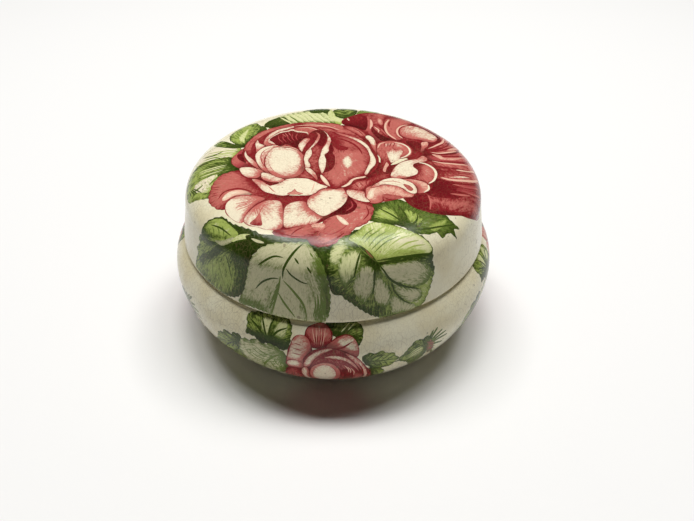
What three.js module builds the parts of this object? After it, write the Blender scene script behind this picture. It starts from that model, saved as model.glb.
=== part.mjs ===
// Powder jar: a squat glazed earthenware bowl with a lift-off lid.
// Millimetres, +Z up. The origin is the centre of the foot ring's underside, and the front faces -Y.
//
// Both pieces are turned shapes. The bowl has a foot ring, a bulging wall, a flat seat for the lid and an
// upstanding collar. The lid's rim rests on the seat, and its skirt drops over the collar with clearance, so
// it lifts straight off. Each piece's section is one closed outline of (radius, height) points.

import * as THREE from "three";

const DEG = Math.PI / 180;
const SEGMENTS = 64; // facets round each turned piece

// ---- Driving dimensions ----
const SEAT_HEIGHT = 35.5; // the bowl's seat, where the lid's rim rests
const LID_REST_GAP = 0.25; // glaze thickness left between the rim and the seat

const bowl = {
  footRadius: 41, // outer edge of the foot ring
  footInnerRadius: 35.5,
  footRecess: 2.4, // how far the base is hollowed inside the foot ring
  footEdge: 0.6, // bevel on the foot ring's edges
  footFillet: 1.2, // bevel where the ring's inside meets the base
  footHeight: 1.7, // where the wall leaves the foot ring
  footWaist: 41.8, // wall radius at the top of the foot ring
  wallStart: 2.4, // height from which the wall follows its lower curve
  bulgeRadius: 57.4, // widest part of the wall
  bulgeHeight: 25.5,
  lowerReach: 28, // horizontal half-axis of the lower wall's curve
  lowerDrop: 27.5, // vertical half-axis of the lower wall's curve
  shoulderRadius: 50.6, // where the rounded shoulder meets the flat seat
  wall: 4.4,
  floorTop: 6.6, // inside floor, at the centre
  floorRise: 0.8, // the floor's edge is this much above its centre
  cornerReach: 24, // horizontal half-axis of the curve from inside wall to floor
  neckDrop: 1.5, // how far the collar's straight inside runs below the seat
  neckRise: 7.4, // vertical half-axis of the curve from inside wall to neck
  collarRadius: 47.3, // outside of the collar
  collarInnerRadius: 43.9,
  collarHeight: 5.2, // collar above the seat
};

const lid = {
  rimRadius: 53.2, // outside of the skirt at the rim
  creaseRadius: 50.75, // where the skirt meets the rounded shoulder
  creaseHeight: 14.7, // above the rim
  crownRadius: 36.5, // where the shoulder meets the crown
  shoulderRise: 9.6, // crown edge above the crease
  crownRise: 1, // the crown's gentle dome
  wall: 4.6,
  rimInnerRadius: 48.2, // skirt's inside at the rim: 0.9 mm clear of the collar
  rimRounding: 1.3,
  rimInnerBevel: 0.8,
  shoulderThicken: 1.5, // extra wall across the shoulder
  insideCreaseDrop: 1, // the inside's shoulder starts this far below the crease
};

// ---- Section helpers: each returns a list of [radius, height] ----

// Part of an ellipse about a centre, from one angle to another, both in degrees.
function arc(centreRadius, centreHeight, reach, rise, fromDeg, toDeg, steps) {
  return Array.from({ length: steps + 1 }, (_, i) => {
    const a = (fromDeg + ((toDeg - fromDeg) * i) / steps) * DEG;
    return [centreRadius + reach * Math.cos(a), centreHeight + rise * Math.sin(a)];
  });
}

// A dome from its edge to the axis, or back, as a parabola.
function dome(edgeRadius, edgeHeight, rise, steps) {
  return Array.from({ length: steps + 1 }, (_, i) => {
    const r = edgeRadius * (1 - i / steps);
    return [r, edgeHeight + rise * (1 - (r / edgeRadius) ** 2)];
  });
}

// Angle on the lower wall's curve at which it comes down to a height.
const lowerAngle = (height) => Math.asin((height - bowl.bulgeHeight) / bowl.lowerDrop) / DEG;

// ---- Sections ----

function bowlSection() {
  const b = bowl;
  const lowerCentre = b.bulgeRadius - b.lowerReach;
  const shoulderReach = b.bulgeRadius - b.shoulderRadius;
  const shoulderRise = SEAT_HEIGHT - b.bulgeHeight;
  const collarTop = SEAT_HEIGHT + b.collarHeight;
  const lip = (b.collarRadius - b.collarInnerRadius) / 2;
  const insideBulge = b.bulgeRadius - b.wall;
  const neckReach = insideBulge - b.collarInnerRadius;
  const cornerDrop = b.bulgeHeight - b.floorTop - b.floorRise;
  return [
    // underside of the base, then down and across the foot ring
    [0, b.footRecess],
    [b.footInnerRadius - b.footFillet, b.footRecess],
    [b.footInnerRadius, b.footRecess - b.footFillet],
    [b.footInnerRadius, b.footEdge],
    [b.footInnerRadius + b.footEdge, 0],
    [b.footRadius - b.footEdge, 0],
    [b.footRadius, b.footEdge],
    [b.footWaist, b.footHeight],
    // outside wall: the lower curve up to the bulge, then the shoulder in to the seat
    ...arc(lowerCentre, b.bulgeHeight, b.lowerReach, b.lowerDrop, lowerAngle(b.wallStart), 0, 10),
    ...arc(b.shoulderRadius, b.bulgeHeight, shoulderReach, shoulderRise, 0, 90, 7).slice(1),
    // seat and collar
    [b.collarRadius, SEAT_HEIGHT],
    ...arc(b.collarRadius - lip, collarTop - lip, lip, lip, 0, 180, 6),
    // inside: under the collar, out to the bulge, and down to the floor
    [b.collarInnerRadius, SEAT_HEIGHT - b.neckDrop],
    ...arc(b.collarInnerRadius, b.bulgeHeight, neckReach, b.neckRise, 80, 0, 4),
    ...arc(insideBulge - b.cornerReach, b.bulgeHeight, b.cornerReach, cornerDrop, 0, -84, 7).slice(1),
    [0, b.floorTop],
  ];
}

function lidSection() {
  const l = lid;
  const rim = SEAT_HEIGHT + LID_REST_GAP;
  const crease = rim + l.creaseHeight;
  const crownEdge = crease + l.shoulderRise;
  const shoulderReach = l.creaseRadius - l.crownRadius;
  const insideCrease = l.creaseRadius - l.wall;
  const insideCrown = crownEdge - l.wall;
  const insideReach = shoulderReach - l.shoulderThicken;
  const insideStart = crease - l.insideCreaseDrop;
  const insideCentre = insideCrease - insideReach;
  const outerEdge = l.rimRadius - l.rimRounding;
  return [
    // rim: flat underside with rounded edges
    [l.rimInnerRadius + l.rimInnerBevel, rim],
    [outerEdge, rim],
    ...arc(outerEdge, rim + l.rimRounding, l.rimRounding, l.rimRounding, -60, 0, 2),
    // skirt, shoulder and crown, outside
    [l.creaseRadius, crease],
    ...arc(l.crownRadius, crease, shoulderReach, l.shoulderRise, 0, 90, 9).slice(1),
    ...dome(l.crownRadius, crownEdge, l.crownRise, 4).slice(1),
    // crown, shoulder and skirt, inside
    ...dome(insideCentre, insideCrown, l.crownRise, 3).reverse(),
    ...arc(insideCentre, insideStart, insideReach, insideCrown - insideStart, 90, 0, 6).slice(1),
    [l.rimInnerRadius, rim + l.rimInnerBevel],
  ];
}

// ---- Solids ----

// Turns a closed section round +Z. A section that starts on the axis is turned as it stands; one that
// doesn't is closed on its own first point.
function turned(section) {
  const points = section.map(([r, h]) => new THREE.Vector2(r, h));
  const onAxis = section[0][0] === 0;
  if (!onAxis) points.push(points[0].clone());
  return new THREE.LatheGeometry(points, SEGMENTS).rotateX(Math.PI / 2);
}

function piece(name, section, colour) {
  const glaze = new THREE.MeshStandardMaterial({ color: colour, roughness: 0.18, metalness: 0 });
  const mesh = new THREE.Mesh(turned(section), glaze);
  mesh.name = name;
  return mesh;
}

const jar = new THREE.Group();
jar.add(piece("bowl", bowlSection(), 0xd9d3b8));
jar.add(piece("lid", lidSection(), 0xe0dac2));

export default jar;
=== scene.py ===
"""Looks of a squat, lidded powder jar: crazed cream earthenware, painted with cabbage roses.

The bowl and the lid are each one dense smooth mesh that stands for its CAD node. The outside is rolled out
flat, in millimetres: the lid as a disc about its centre, the bowl as a strip round its wall. The flowers
are drawn there as closed outlines, back to front. One constrained triangulation of all the outlines gives a
mesh whose edges follow every petal, and that mesh is rolled back up onto the turned wall. Each corner of it
holds the paint's light and dark colours, how far the shading has gone, and the brush's direction. The glaze
material draws brush strokes, leaf veins and crazing from those.
"""

import math

import bpy
import numpy as np
from mathutils import Matrix, Vector
from mathutils.geometry import delaunay_2d_cdt
from mathutils.kdtree import KDTree


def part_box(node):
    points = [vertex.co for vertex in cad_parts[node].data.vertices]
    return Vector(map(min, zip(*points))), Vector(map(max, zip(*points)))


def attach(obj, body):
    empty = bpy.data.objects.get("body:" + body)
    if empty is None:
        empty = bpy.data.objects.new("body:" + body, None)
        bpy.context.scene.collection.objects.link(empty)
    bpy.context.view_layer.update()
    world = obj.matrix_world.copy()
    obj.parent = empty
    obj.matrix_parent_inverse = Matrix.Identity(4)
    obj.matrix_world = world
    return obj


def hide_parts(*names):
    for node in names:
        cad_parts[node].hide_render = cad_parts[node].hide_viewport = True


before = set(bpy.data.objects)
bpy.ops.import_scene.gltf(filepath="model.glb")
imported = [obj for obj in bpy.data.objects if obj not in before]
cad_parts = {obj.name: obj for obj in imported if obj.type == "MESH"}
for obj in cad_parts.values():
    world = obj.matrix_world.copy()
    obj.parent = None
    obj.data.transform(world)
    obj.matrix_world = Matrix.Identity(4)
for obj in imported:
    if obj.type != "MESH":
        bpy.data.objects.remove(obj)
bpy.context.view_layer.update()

MM = 0.001
TURN = 2 * math.pi

# ---- Sizes in millimetres. The CAD parts' boxes give the outer ones, and the rest repeat the CAD's. ----

BOWL_HIGH = np.array(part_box("bowl")[1]) / MM  # upper corner of its box
LID_LOW, LID_HIGH = (np.array(corner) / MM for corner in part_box("lid"))

BULGE_RADIUS = BOWL_HIGH[0]
BULGE_HEIGHT = 25.5
SEAT_HEIGHT = 35.5
SEAT_FILLET = 0.6  # glaze pooled where the collar meets the seat
COLLAR_TOP = BOWL_HIGH[2]
COLLAR_RADIUS = 47.3
COLLAR_INNER_RADIUS = 43.9
SHOULDER_RADIUS = 50.6
LOWER_REACH = 28
LOWER_DROP = 27.5
WALL_START = 2.4
FOOT_RADIUS = 41
FOOT_INNER_RADIUS = 35.5
FOOT_WAIST = (41.8, 1.7)  # radius and height where the wall meets the foot ring
FOOT_EDGE = 0.5
FOOT_FILLET = 1.2
FOOT_RECESS = 2.4
BARE_CLAY_HEIGHT = 0.4  # below this, the foot ring has no glaze
BOWL_WALL = 4.4
FLOOR_TOP = 6.6
FLOOR_DISH = 0.5  # rise of the inside floor from its centre to where its corner starts
FLOOR_RISE = 0.8
CORNER_REACH = 24
NECK_DROP = 1.5
NECK_RISE = 7.4

RIM_HEIGHT = LID_LOW[2]
RIM_RADIUS = LID_HIGH[0]
RIM_INNER_RADIUS = 48.2
RIM_ROUNDING = 1.3
RIM_INNER_ROUNDING = 1
CREASE_RADIUS = 50.75
CREASE_HEIGHT = RIM_HEIGHT + 14.7
CROWN_RADIUS = 36.5
CROWN_RISE = 1
CROWN_EDGE = LID_HIGH[2] - CROWN_RISE
LID_WALL = 4.6
SHOULDER_THICKEN = 1.5  # extra wall across the lid's shoulder
INSIDE_CREASE_DROP = 1

# ---- Mesh spacings, in millimetres ----

AROUND = 256  # points round each turned ring
GRAIN = 0.75  # between the painted sheet's own points
MARGIN = 0.6 * GRAIN  # kept clear inside its border
OUTLINE_STEP = 0.6  # along a drawn outline
STROKE_STEP = 0.5  # along a brush line
SECTION_STEP = 0.1  # along a wall's section, for looking it up
PLAIN_STEP = 1.0  # between rings of the plain insides
FOOT_STEP = 0.6
SEAM_STEPS = 40  # down the bowl's seam

# ---- Colours, as sRGB 0 to 255 ----

CREAM = (233, 222, 195)
BLUSH = (226, 180, 158)
ROSE = (188, 102, 94)
DUSK = (164, 66, 68)
CRIMSON = (132, 32, 38)
DEEP = (104, 18, 26)
LEAF_PALE = (214, 216, 160)
LEAF_LIGHT = (162, 178, 92)
LEAF = (102, 122, 52)
LEAF_DARK = (56, 75, 22)
LEAF_GREY = (204, 200, 160)
RUST = (132, 84, 58)


def linear(colour):
    """sRGB 0 to 255 to linear 0 to 1."""
    c = np.array(colour, float) / 255
    return np.where(c <= 0.04045, c / 12.92, ((c + 0.055) / 1.055) ** 2.4)


# ---- Curves ----


def arc(centre_r, centre_h, reach, rise, start, end, steps):
    """Part of an ellipse as (radius, height) points, from one angle to another in degrees."""
    angles = np.radians(np.linspace(start, end, steps + 1))
    return [(centre_r + reach * math.cos(a), centre_h + rise * math.sin(a)) for a in angles]


def smooth(points, closed=True, step=OUTLINE_STEP):
    """Points along a smooth curve through the given ones. A third value marks a sharp corner."""
    xy = np.array([p[:2] for p in points], float)
    sharp = [len(p) > 2 for p in points]
    count = len(points)
    out = []
    for i in range(count if closed else count - 1):
        j = (i + 1) % count
        a, b = xy[i], xy[j]
        before = xy[i - 1] if (closed or i > 0) and not sharp[i] else 2 * a - b
        after = xy[(j + 1) % count] if (closed or j < count - 1) and not sharp[j] else 2 * b - a
        pieces = max(2, round(np.linalg.norm(b - a) / step))
        square = 2 * before - 5 * a + 4 * b - after
        cube = 3 * a - before - 3 * b + after
        for t in np.arange(pieces) / pieces:
            out.append(0.5 * (2 * a + (b - before) * t + square * t**2 + cube * t**3))
    if not closed:
        out.append(xy[-1])
    return np.array(out)


def turned_left(loop):
    """A closed loop of points, in the order that goes anticlockwise."""
    ahead = np.roll(loop, -1, axis=0)
    area = np.sum(loop[:, 0] * ahead[:, 1] - ahead[:, 0] * loop[:, 1])
    return loop if area > 0 else loop[::-1]


def outward(loop):
    """Unit normals of an anticlockwise closed loop of points, pointing out of it."""
    along = np.roll(loop, -1, axis=0) - np.roll(loop, 1, axis=0)
    along /= np.maximum(np.linalg.norm(along, axis=1, keepdims=True), 1e-9)
    return np.stack([along[:, 1], -along[:, 0]], axis=1)


# ---- Painting ----
#
# Each call adds one outline, over those before it. A shape's tone says how far its colour has gone: 0 is
# its light colour, 1 its dark one, and beyond them are a pale highlight at -1 and an inky dark at 2.

EDGE_REACH = 2.4  # how far in from its border a leaf's edge shading reaches
SHADOW_REACH = 2.6  # how far out a petal's soft shadow falls on the shapes under it
PETAL_SHADOW = 0.75  # how dark that shadow is under an outlined petal
LEAF_SHADOW = 0.35
TOOTH_LENGTH = 2.3
TOOTH_MIDDLE = 0.4  # how far up a saw tooth the drawn outline runs
RUFFLE_TURN = 1.3  # radians of a ruffle's wave per millimetre
RIB_WIDTH = 0.9
RIB_DARKNESS = 0.5
LEAF_EDGE = 0.6  # how dark a leaf's edge shading is
LEAF_TEETH = 0.45
LEAF_STREAK = 1.6  # how strong a leaf's brush strokes are
LINE_STREAK = 0.4
VEIN_SLANT = 0.8  # how far a side vein runs back for each millimetre out from the midrib
LENGTHWISE = 0.22  # strokes vary this much more slowly along the brush's direction than across it
STROKES_APART = 17.3  # how far on each shape starts in the pattern of strokes, so that no two match


class Painting:
    """A list of painted shapes on a flat sheet, in millimetres."""

    def __init__(self):
        self.shapes = []
        self.place = np.eye(2), np.zeros(2)

    def put(self, turn=0.0, at=(0, 0)):
        """Turns (in degrees) and moves what is drawn next."""
        c, s = math.cos(math.radians(turn)), math.sin(math.radians(turn))
        self.place = np.array([[c, -s], [s, c]]), np.array(at, float)

    def _add(self, loop, light, dark, brush, shadow=0.0):
        turn, shift = self.place
        loop = loop @ turn.T + shift
        self.shapes.append(
            {
                "loop": loop,
                "light": linear(light),
                "dark": linear(dark),
                "brush": lambda p: brush((p - shift) @ turn),
                "shadow": shadow,
                "washes": [],
            }
        )

    def wash(self, points, width, amount):
        """Softly darkens the last shape, or lightens it by a negative amount, along a line of points."""
        turn, shift = self.place
        line = smooth(points, closed=False)
        self.shapes[-1]["washes"].append((line @ turn.T + shift, width, amount))

    def petal(self, points, light, dark, root=None, reach=8.0, base=0.0, edge=0.45, soft=2.4, line=0.0,
              ink=CRIMSON, streak=1.1, shadow=None, ruffle=0.0, teeth=0.0, depth=1.25, rays=7.0):
        """A brushed shape.

        Its tone is base, more by depth at its root, fading out at reach, and more by edge at its border,
        fading in over soft. Line is the width of an uneven dark line round it, in the ink colour. Shadow is
        how strongly it darkens what lies under it. Ruffle and teeth are the heights of waves and saw teeth
        round its edge. Streak is how strong its brush strokes are, and rays how closely they are packed
        round the root.
        """
        loop, steps = edged(turned_left(smooth(points)), ruffle, teeth)
        centre = np.array(root if root else loop.mean(axis=0), float)
        if line:
            uneven = 0.85 + 0.5 * np.sin(steps * 0.45 + centre[0]) + 0.3 * np.sin(steps * 1.3 + centre[1])
            contour = loop + outward(loop) * (line * np.maximum(uneven, 0.15))[:, None]
            self._add(contour, ink, ink, lambda p: flat_brush(p, centre, 0.7, 0.9))

        def brush(p):
            away = p - centre
            distance = np.linalg.norm(away, axis=1)
            ray = away / np.maximum(distance, 0.01)[:, None] * rays
            tone = np.full(len(p), float(base))
            if root:
                tone += depth * np.clip(1 - distance / reach, 0, 1)
            tone += edge * np.clip(1 - gap(p, loop) / soft, 0, 1) ** 1.3
            return tone, distance * LENGTHWISE, ray[:, 0], ray[:, 1], streak, np.zeros(len(p)), 0.0

        if shadow is None:
            shadow = PETAL_SHADOW if line else 0.0
        self._add(loop, light, dark, brush, shadow)

    def stroke(self, points, width, colour, blunt=False, tone=0.0):
        """A tapered brush line."""
        line = smooth(points, closed=False, step=STROKE_STEP)
        along = np.gradient(line, axis=0)
        along /= np.maximum(np.linalg.norm(along, axis=1, keepdims=True), 1e-9)
        side = np.stack([-along[:, 1], along[:, 0]], axis=1)
        t = np.linspace(0, 1, len(line))
        half = width / 2 * np.maximum(np.sin(np.pi * t), 0) ** (0.3 if blunt else 0.6) + 0.03
        loop = np.concatenate([line + side * half[:, None], (line - side * half[:, None])[::-1]])
        centre = loop.mean(axis=0)
        self._add(turned_left(loop), colour, colour, lambda p: flat_brush(p, centre, tone, LINE_STREAK))

    def hatch(self, starts, ends, count, width, colour, bow=0.0):
        """Fine strokes from places spread along one line to places spread along another."""
        first, last = (smooth(line, closed=False) for line in (starts, ends))
        for t in (np.arange(count) + 0.5) / count:
            a, b = (line[round(t * (len(line) - 1))] for line in (first, last))
            middle = (a + b) / 2 + bow * np.array([a[1] - b[1], b[0] - a[0]])
            self.stroke([a, middle, b], width, colour)

    def leaf(self, points, base, tip, light, dark, veins=6, shade=0.4, panels=0.7, under=0.0):
        """A leaf with a toothed edge, and side veins slanting from a midrib between base and tip.

        Panels is how strongly each strip between veins is shaded, and under darkens the side left of the
        midrib.
        """
        loop, _ = edged(turned_left(smooth(points)), 0.0, LEAF_TEETH)
        base = np.array(base, float)
        rib = np.array(tip, float) - base
        length = np.linalg.norm(rib)
        rib /= length
        spacing = length / veins

        def brush(p):
            u = (p - base) @ rib
            v = (p - base) @ np.array([-rib[1], rib[0]])
            slanted = u - VEIN_SLANT * np.abs(v)
            tone = shade - 0.3 * u / length + np.where(v > 0, under, 0.0)
            tone += LEAF_EDGE * np.clip(1 - gap(p, loop) / EDGE_REACH, 0, 1)
            tone += RIB_DARKNESS * np.exp(-np.abs(v) / RIB_WIDTH)
            level = np.zeros(len(p))
            return tone, np.abs(v) * 0.3, slanted * 1.5, level, LEAF_STREAK, slanted / spacing, panels

        self._add(loop, light, dark, brush, LEAF_SHADOW)


def edged(loop, ruffle, teeth):
    """A loop with waves and saw teeth of given heights, and each point's distance along the plain loop."""
    steps = np.linalg.norm(loop - np.roll(loop, 1, axis=0), axis=1).cumsum()
    waves = ruffle * np.abs(np.sin(steps * RUFFLE_TURN))
    saw = teeth * ((steps / TOOTH_LENGTH) % 1.0 - TOOTH_MIDDLE)
    return loop + outward(loop) * (waves + saw)[:, None], steps


def flat_brush(p, centre, tone, streak):
    """Brush values of a plain stroke."""
    away = p - centre
    return np.full(len(p), tone), away[:, 0] * 0.5, away[:, 1], away[:, 0], streak, np.zeros(len(p)), 0.0


def gap(p, line):
    """Distance from each of some points to the nearest point of a line."""
    nearest = np.full(len(p), np.inf)
    for x, y in line:
        nearest = np.minimum(nearest, (p[:, 0] - x) ** 2 + (p[:, 1] - y) ** 2)
    return np.sqrt(nearest)


def near(p, line, reach):
    """Indices of the points whose box distance from a line of points is under reach."""
    low, high = line.min(axis=0) - reach, line.max(axis=0) + reach
    return np.nonzero(np.all((p > low) & (p < high), axis=1))[0]


# ---- The lid's flowers. x is to the right and y away from the front, from the centre of the crown. ----


def far_leaves(art):
    """The small leaves at the far side of the crown."""
    art.leaf(
        [(-12, 39), (-8, 42.5), (-3, 42.5), (-0.5, 39), (-3, 36), (-8, 36)],
        (-2, 36.5), (-9, 42), LEAF, LEAF_DARK, veins=4, shade=0.8,
    )
    art.leaf(
        [(-0.5, 37.5), (1.5, 42), (6, 44), (9, 41), (8.5, 36), (5, 31.5), (1.5, 33)],
        (5, 32), (3, 43.5), LEAF_LIGHT, LEAF_DARK, veins=4, shade=0.7,
    )
    art.leaf(
        [(9, 35), (10.5, 41), (14.5, 45.5), (17.5, 41), (16.5, 36)],
        (12, 35), (14.5, 45), LEAF_LIGHT, LEAF, veins=4, shade=0.6,
    )
    art.leaf(
        [(-25.3, 25), (-25.5, 29), (-22, 33), (-17.5, 36.5), (-13, 38.6), (-8, 39.3), (-4, 37.6),
         (-1, 34), (1, 30), (1.2, 25), (-10, 26), (-19, 23)],
        (0, 27), (-24, 30), LEAF_PALE, LEAF, veins=9, shade=0.15, panels=0.9, under=-0.1,
    )
    art.petal(
        [(-25.2, 25), (-25.2, 29), (-22.5, 32.4), (-19.5, 34), (-17.5, 31.5), (-16.5, 28), (-17.5, 24)],
        LEAF_LIGHT, LEAF_DARK, root=(-22, 26), reach=11, base=0.25,
    )
    art.stroke([(-20.5, 33.5), (-18, 30.5), (-15.5, 27.5)], 0.9, LEAF_PALE)
    art.stroke([(-17, 34.5), (-14.5, 31), (-13, 28)], 0.7, LEAF)
    art.petal([(-9, 37.5), (-6, 36.8), (-3.5, 38.5), (-4.5, 41.5), (-8.5, 41.5)], LEAF, LEAF_DARK, base=0.8)
    art.petal(
        [(-2.2, 37), (-1, 41, 1), (0.1, 37), (1, 33.5), (3.4, 31), (3, 27, 1), (1.4, 24), (0.4, 29),
         (-1.6, 32.5)],
        LEAF_PALE, LEAF_LIGHT, root=(1.5, 24), reach=6,
    )


def left_leaves(art):
    """The leaves at the left of the crown, which turn down over the shoulder."""
    art.petal(
        [(-30, 29.5), (-27.5, 26), (-26.5, 21), (-27.6, 16), (-30, 11.5), (-33.5, 11), (-36.5, 15),
         (-37.6, 20), (-36, 25), (-33, 28)],
        LEAF_LIGHT, LEAF_DARK, root=(-31, 10), reach=7, depth=0.5, base=0.2, edge=0.4, soft=1.6,
        streak=2.2, line=0.25, ink=LEAF_DARK, teeth=0.3,
    )
    art.wash([(-28, 17), (-27.6, 22), (-29.6, 27)], 2.4, 0.5)
    art.petal(
        [(-31.6, 12.6), (-34, 16), (-33.4, 20), (-31.2, 24.8, 1), (-31.6, 20), (-32, 16)],
        LEAF_PALE, LEAF_LIGHT, streak=2.0,
    )
    art.hatch([(-31.8, 17), (-31.2, 24)], [(-28.4, 19), (-28.8, 26)], 4, 0.3, LEAF)
    art.hatch([(-33.8, 15.4), (-33, 22)], [(-36.4, 19), (-34.6, 26)], 4, 0.3, LEAF)
    art.petal([(-27.2, 25.8), (-25.3, 25.2), (-24.6, 22), (-27, 19.5)], LEAF, LEAF_DARK, base=0.5)
    art.petal(
        [(-45.5, 9.5), (-41, 12), (-36, 11), (-32.5, 8.5), (-33.5, 4), (-34, 2), (-40, 1.5), (-46, 0.5),
         (-48.5, 4)],
        CREAM, LEAF_LIGHT, root=(-31, 6), depth=0.9, base=-0.1, soft=1.4, streak=2.2, line=0.15, ink=LEAF,
    )
    art.hatch([(-34, 8.4), (-34.6, 3)], [(-44.6, 8.8), (-46, 1.8)], 5, 0.5, LEAF_LIGHT, bow=0.06)
    art.stroke([(-46.5, 6.5), (-42.5, 5.2), (-40, 6.2), (-38.3, 7.6)], 0.7, LEAF_DARK)
    art.stroke([(-45, 3.4), (-41.5, 3.6), (-38.5, 2.6)], 0.6, LEAF)
    art.petal(
        [(-41.5, 17.5, 1), (-38.5, 15), (-35.5, 12.4), (-32, 11.6), (-30.4, 10), (-34, 9), (-38, 9.8),
         (-41.5, 12.2), (-43.5, 15.5)],
        LEAF_LIGHT, LEAF_DARK, root=(-30.5, 10.5), reach=12, depth=0.9, base=0.3, streak=2.2,
    )
    art.stroke([(-31.6, 10.6), (-36.4, 11.4), (-41, 15.6)], 0.5, LEAF_DARK, tone=0.5)
    art.petal(
        [(-48, 1.2), (-43, 2.2), (-38, 2.8), (-34, 2.4), (-31.5, -2), (-31, -7), (-36, -9), (-38, -13),
         (-38.5, -19.8), (-44, -18.8), (-48.5, -17), (-50.5, -12), (-51, -6)],
        LEAF_LIGHT, LEAF_DARK, root=(-31, -2.5), reach=9, depth=0.6, base=0.3, edge=0.4, soft=1.6,
        streak=2.6, teeth=0.4,
    )
    art.wash([(-40, -1.5), (-34.5, -2.5)], 4.0, 0.35)
    art.wash([(-46, 1), (-38, 1.8)], 1.6, 0.5)
    art.hatch([(-33, 0.8), (-33, -5.6)], [(-47, 0), (-46, -9.6)], 8, 0.4, LEAF_DARK, bow=0.05)
    art.hatch([(-35.6, -1), (-37, -6)], [(-46, -3), (-44.4, -8)], 3, 0.5, LEAF_PALE, bow=0.05)
    art.petal(
        [(-46, -10.5), (-42, -9), (-38.5, -8), (-38, -12), (-39.5, -17), (-43, -16), (-46, -14)],
        CREAM, LEAF_LIGHT, root=(-38, -18), reach=7, depth=0.7, edge=0.3, soft=1.6, streak=2.4,
    )
    art.stroke([(-40.5, -13.5), (-38.8, -11), (-37.4, -9)], 0.8, LEAF)
    art.stroke([(-47.5, -13.6), (-44.5, -13.4), (-42.5, -12.2)], 0.9, LEAF)
    art.hatch([(-47.8, -15), (-42, -16.4)], [(-49.4, -11.6), (-46.4, -11.4)], 4, 0.4, LEAF_DARK)


def folded_leaf(art):
    """A dark leaf that fans out to the left of its stem, with a lighter flap turned over its top."""
    art.petal(
        [(-42, -30.2), (-38.5, -29.2), (-34, -29.8), (-31, -33), (-27, -35.5), (-22, -38.5),
         (-20.5, -42), (-25, -45.5), (-29, -50), (-33.5, -55), (-38, -56), (-43, -54.2), (-47.5, -50.5),
         (-52, -45.6), (-55.5, -40.6), (-58, -36.4), (-55, -34.9), (-51.8, -34.6), (-51.4, -32.7),
         (-47.8, -32.9), (-46.5, -31.2), (-43, -31.7)],
        LEAF_LIGHT, LEAF_DARK, root=(-25, -40), base=0.45, edge=0.25, streak=2.4, teeth=0.5, shadow=0.3,
        rays=22,
    )
    art.wash([(-52, -37), (-44, -39.4), (-36, -39.8), (-28, -40)], 2.2, 0.9)
    art.wash([(-31, -43), (-32, -49), (-36, -54.5)], 3.6, 0.7)
    art.wash([(-27, -42), (-26.5, -46)], 4.5, 1.0)
    art.wash([(-46, -53), (-38, -55.4)], 2.6, 0.6)
    art.wash([(-48, -42.6), (-41, -44.5), (-41, -49)], 4.0, -0.4)
    art.wash([(-36, -43), (-37.6, -49)], 2.2, -0.4)
    art.wash([(-55, -38), (-50, -36)], 2.4, -0.35)
    for bend in (0, 1, 2):
        x = -35 + 3.1 * bend
        art.stroke([(x, -41), (x - 0.6, -45), (x - 2.4, -50.5 + bend)], 0.45, LEAF_DARK)
    art.stroke([(-43, -41), (-46.5, -44.5), (-48.6, -49)], 0.4, LEAF)
    art.stroke([(-39.5, -41), (-41.6, -46), (-42.4, -52)], 0.4, LEAF)
    art.stroke([(-54.6, -36.4), (-49, -36.8), (-44.6, -38.6)], 0.4, LEAF_DARK)
    art.petal(
        [(-43.4, -33), (-42, -30.7), (-38.5, -29.6), (-34.4, -30.4), (-31.4, -33.5), (-28.6, -37.3),
         (-30.5, -38.6), (-34, -38.2), (-38, -36.8)],
        LEAF_LIGHT, LEAF_DARK, root=(-45, -31), edge=0.3, streak=1.7, line=0.3, ink=LEAF_DARK,
    )
    art.wash([(-40, -31), (-35.5, -32.5), (-32, -35.8)], 1.6, -0.4)
    art.wash([(-40.6, -33.6), (-36.6, -36), (-32, -37.6)], 1.8, 0.6)
    art.hatch([(-40, -31.4), (-33.6, -33)], [(-40.6, -35), (-32.6, -37)], 4, 0.3, LEAF, bow=0.1)
    art.petal(
        [(-37.6, -36.6), (-34, -37.8), (-30, -38), (-31, -39.3), (-35, -39.2)],
        LEAF_GREY, LEAF, edge=0.5, soft=1.2,
    )
    # pale patch by the stem: partly the leaf's pale print, partly a painted highlight of the glaze's shine
    art.petal(
        [(-28.6, -37.8), (-25.5, -38.1), (-23.6, -39.6), (-28, -39.9), (-31, -39.1)],
        LEAF_PALE, LEAF_LIGHT,
    )
    art.stroke(
        [(-47.5, -38.9), (-42, -38.7), (-37.5, -39.2), (-33, -40.2), (-29, -39.7), (-23.6, -40)],
        0.75, LEAF_DARK, tone=1.0,
    )
    art.stroke([(-38.4, -31), (-34.6, -33.6), (-31, -37.4)], 0.5, LEAF_DARK)
    art.stroke([(-42.6, -34.4), (-40.4, -36.4), (-38.2, -37.6), (-37.4, -39)], 0.55, LEAF_DARK)


def glimpsed_leaves(art):
    """Dark leaves that show between the front leaves and the rose."""
    art.petal(
        [(-26, -38.5), (-18, -39.6), (-12, -40.6), (-6, -41), (-6.4, -43.6), (-14, -43.8), (-20, -43.4),
         (-24, -41.8)],
        LEAF_LIGHT, LEAF_DARK, root=(-24, -39), base=0.5, streak=2.6, rays=24,
    )
    # pale stroke by the stem: partly print, partly a painted highlight of the glaze's shine
    art.stroke([(-24.4, -39.8), (-22.6, -41), (-20.4, -42)], 0.8, LEAF_GREY)
    art.petal(
        [(-7.5, -42.6), (-1, -43), (0.6, -48), (1.4, -53), (3.5, -59), (-0.5, -59.4), (-2.6, -53),
         (-5.6, -47)],
        LEAF, LEAF_DARK, base=0.45, streak=2.2,
    )
    art.wash([(-1.5, -47), (-0.6, -52), (1, -58)], 2.6, 0.9)


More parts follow.
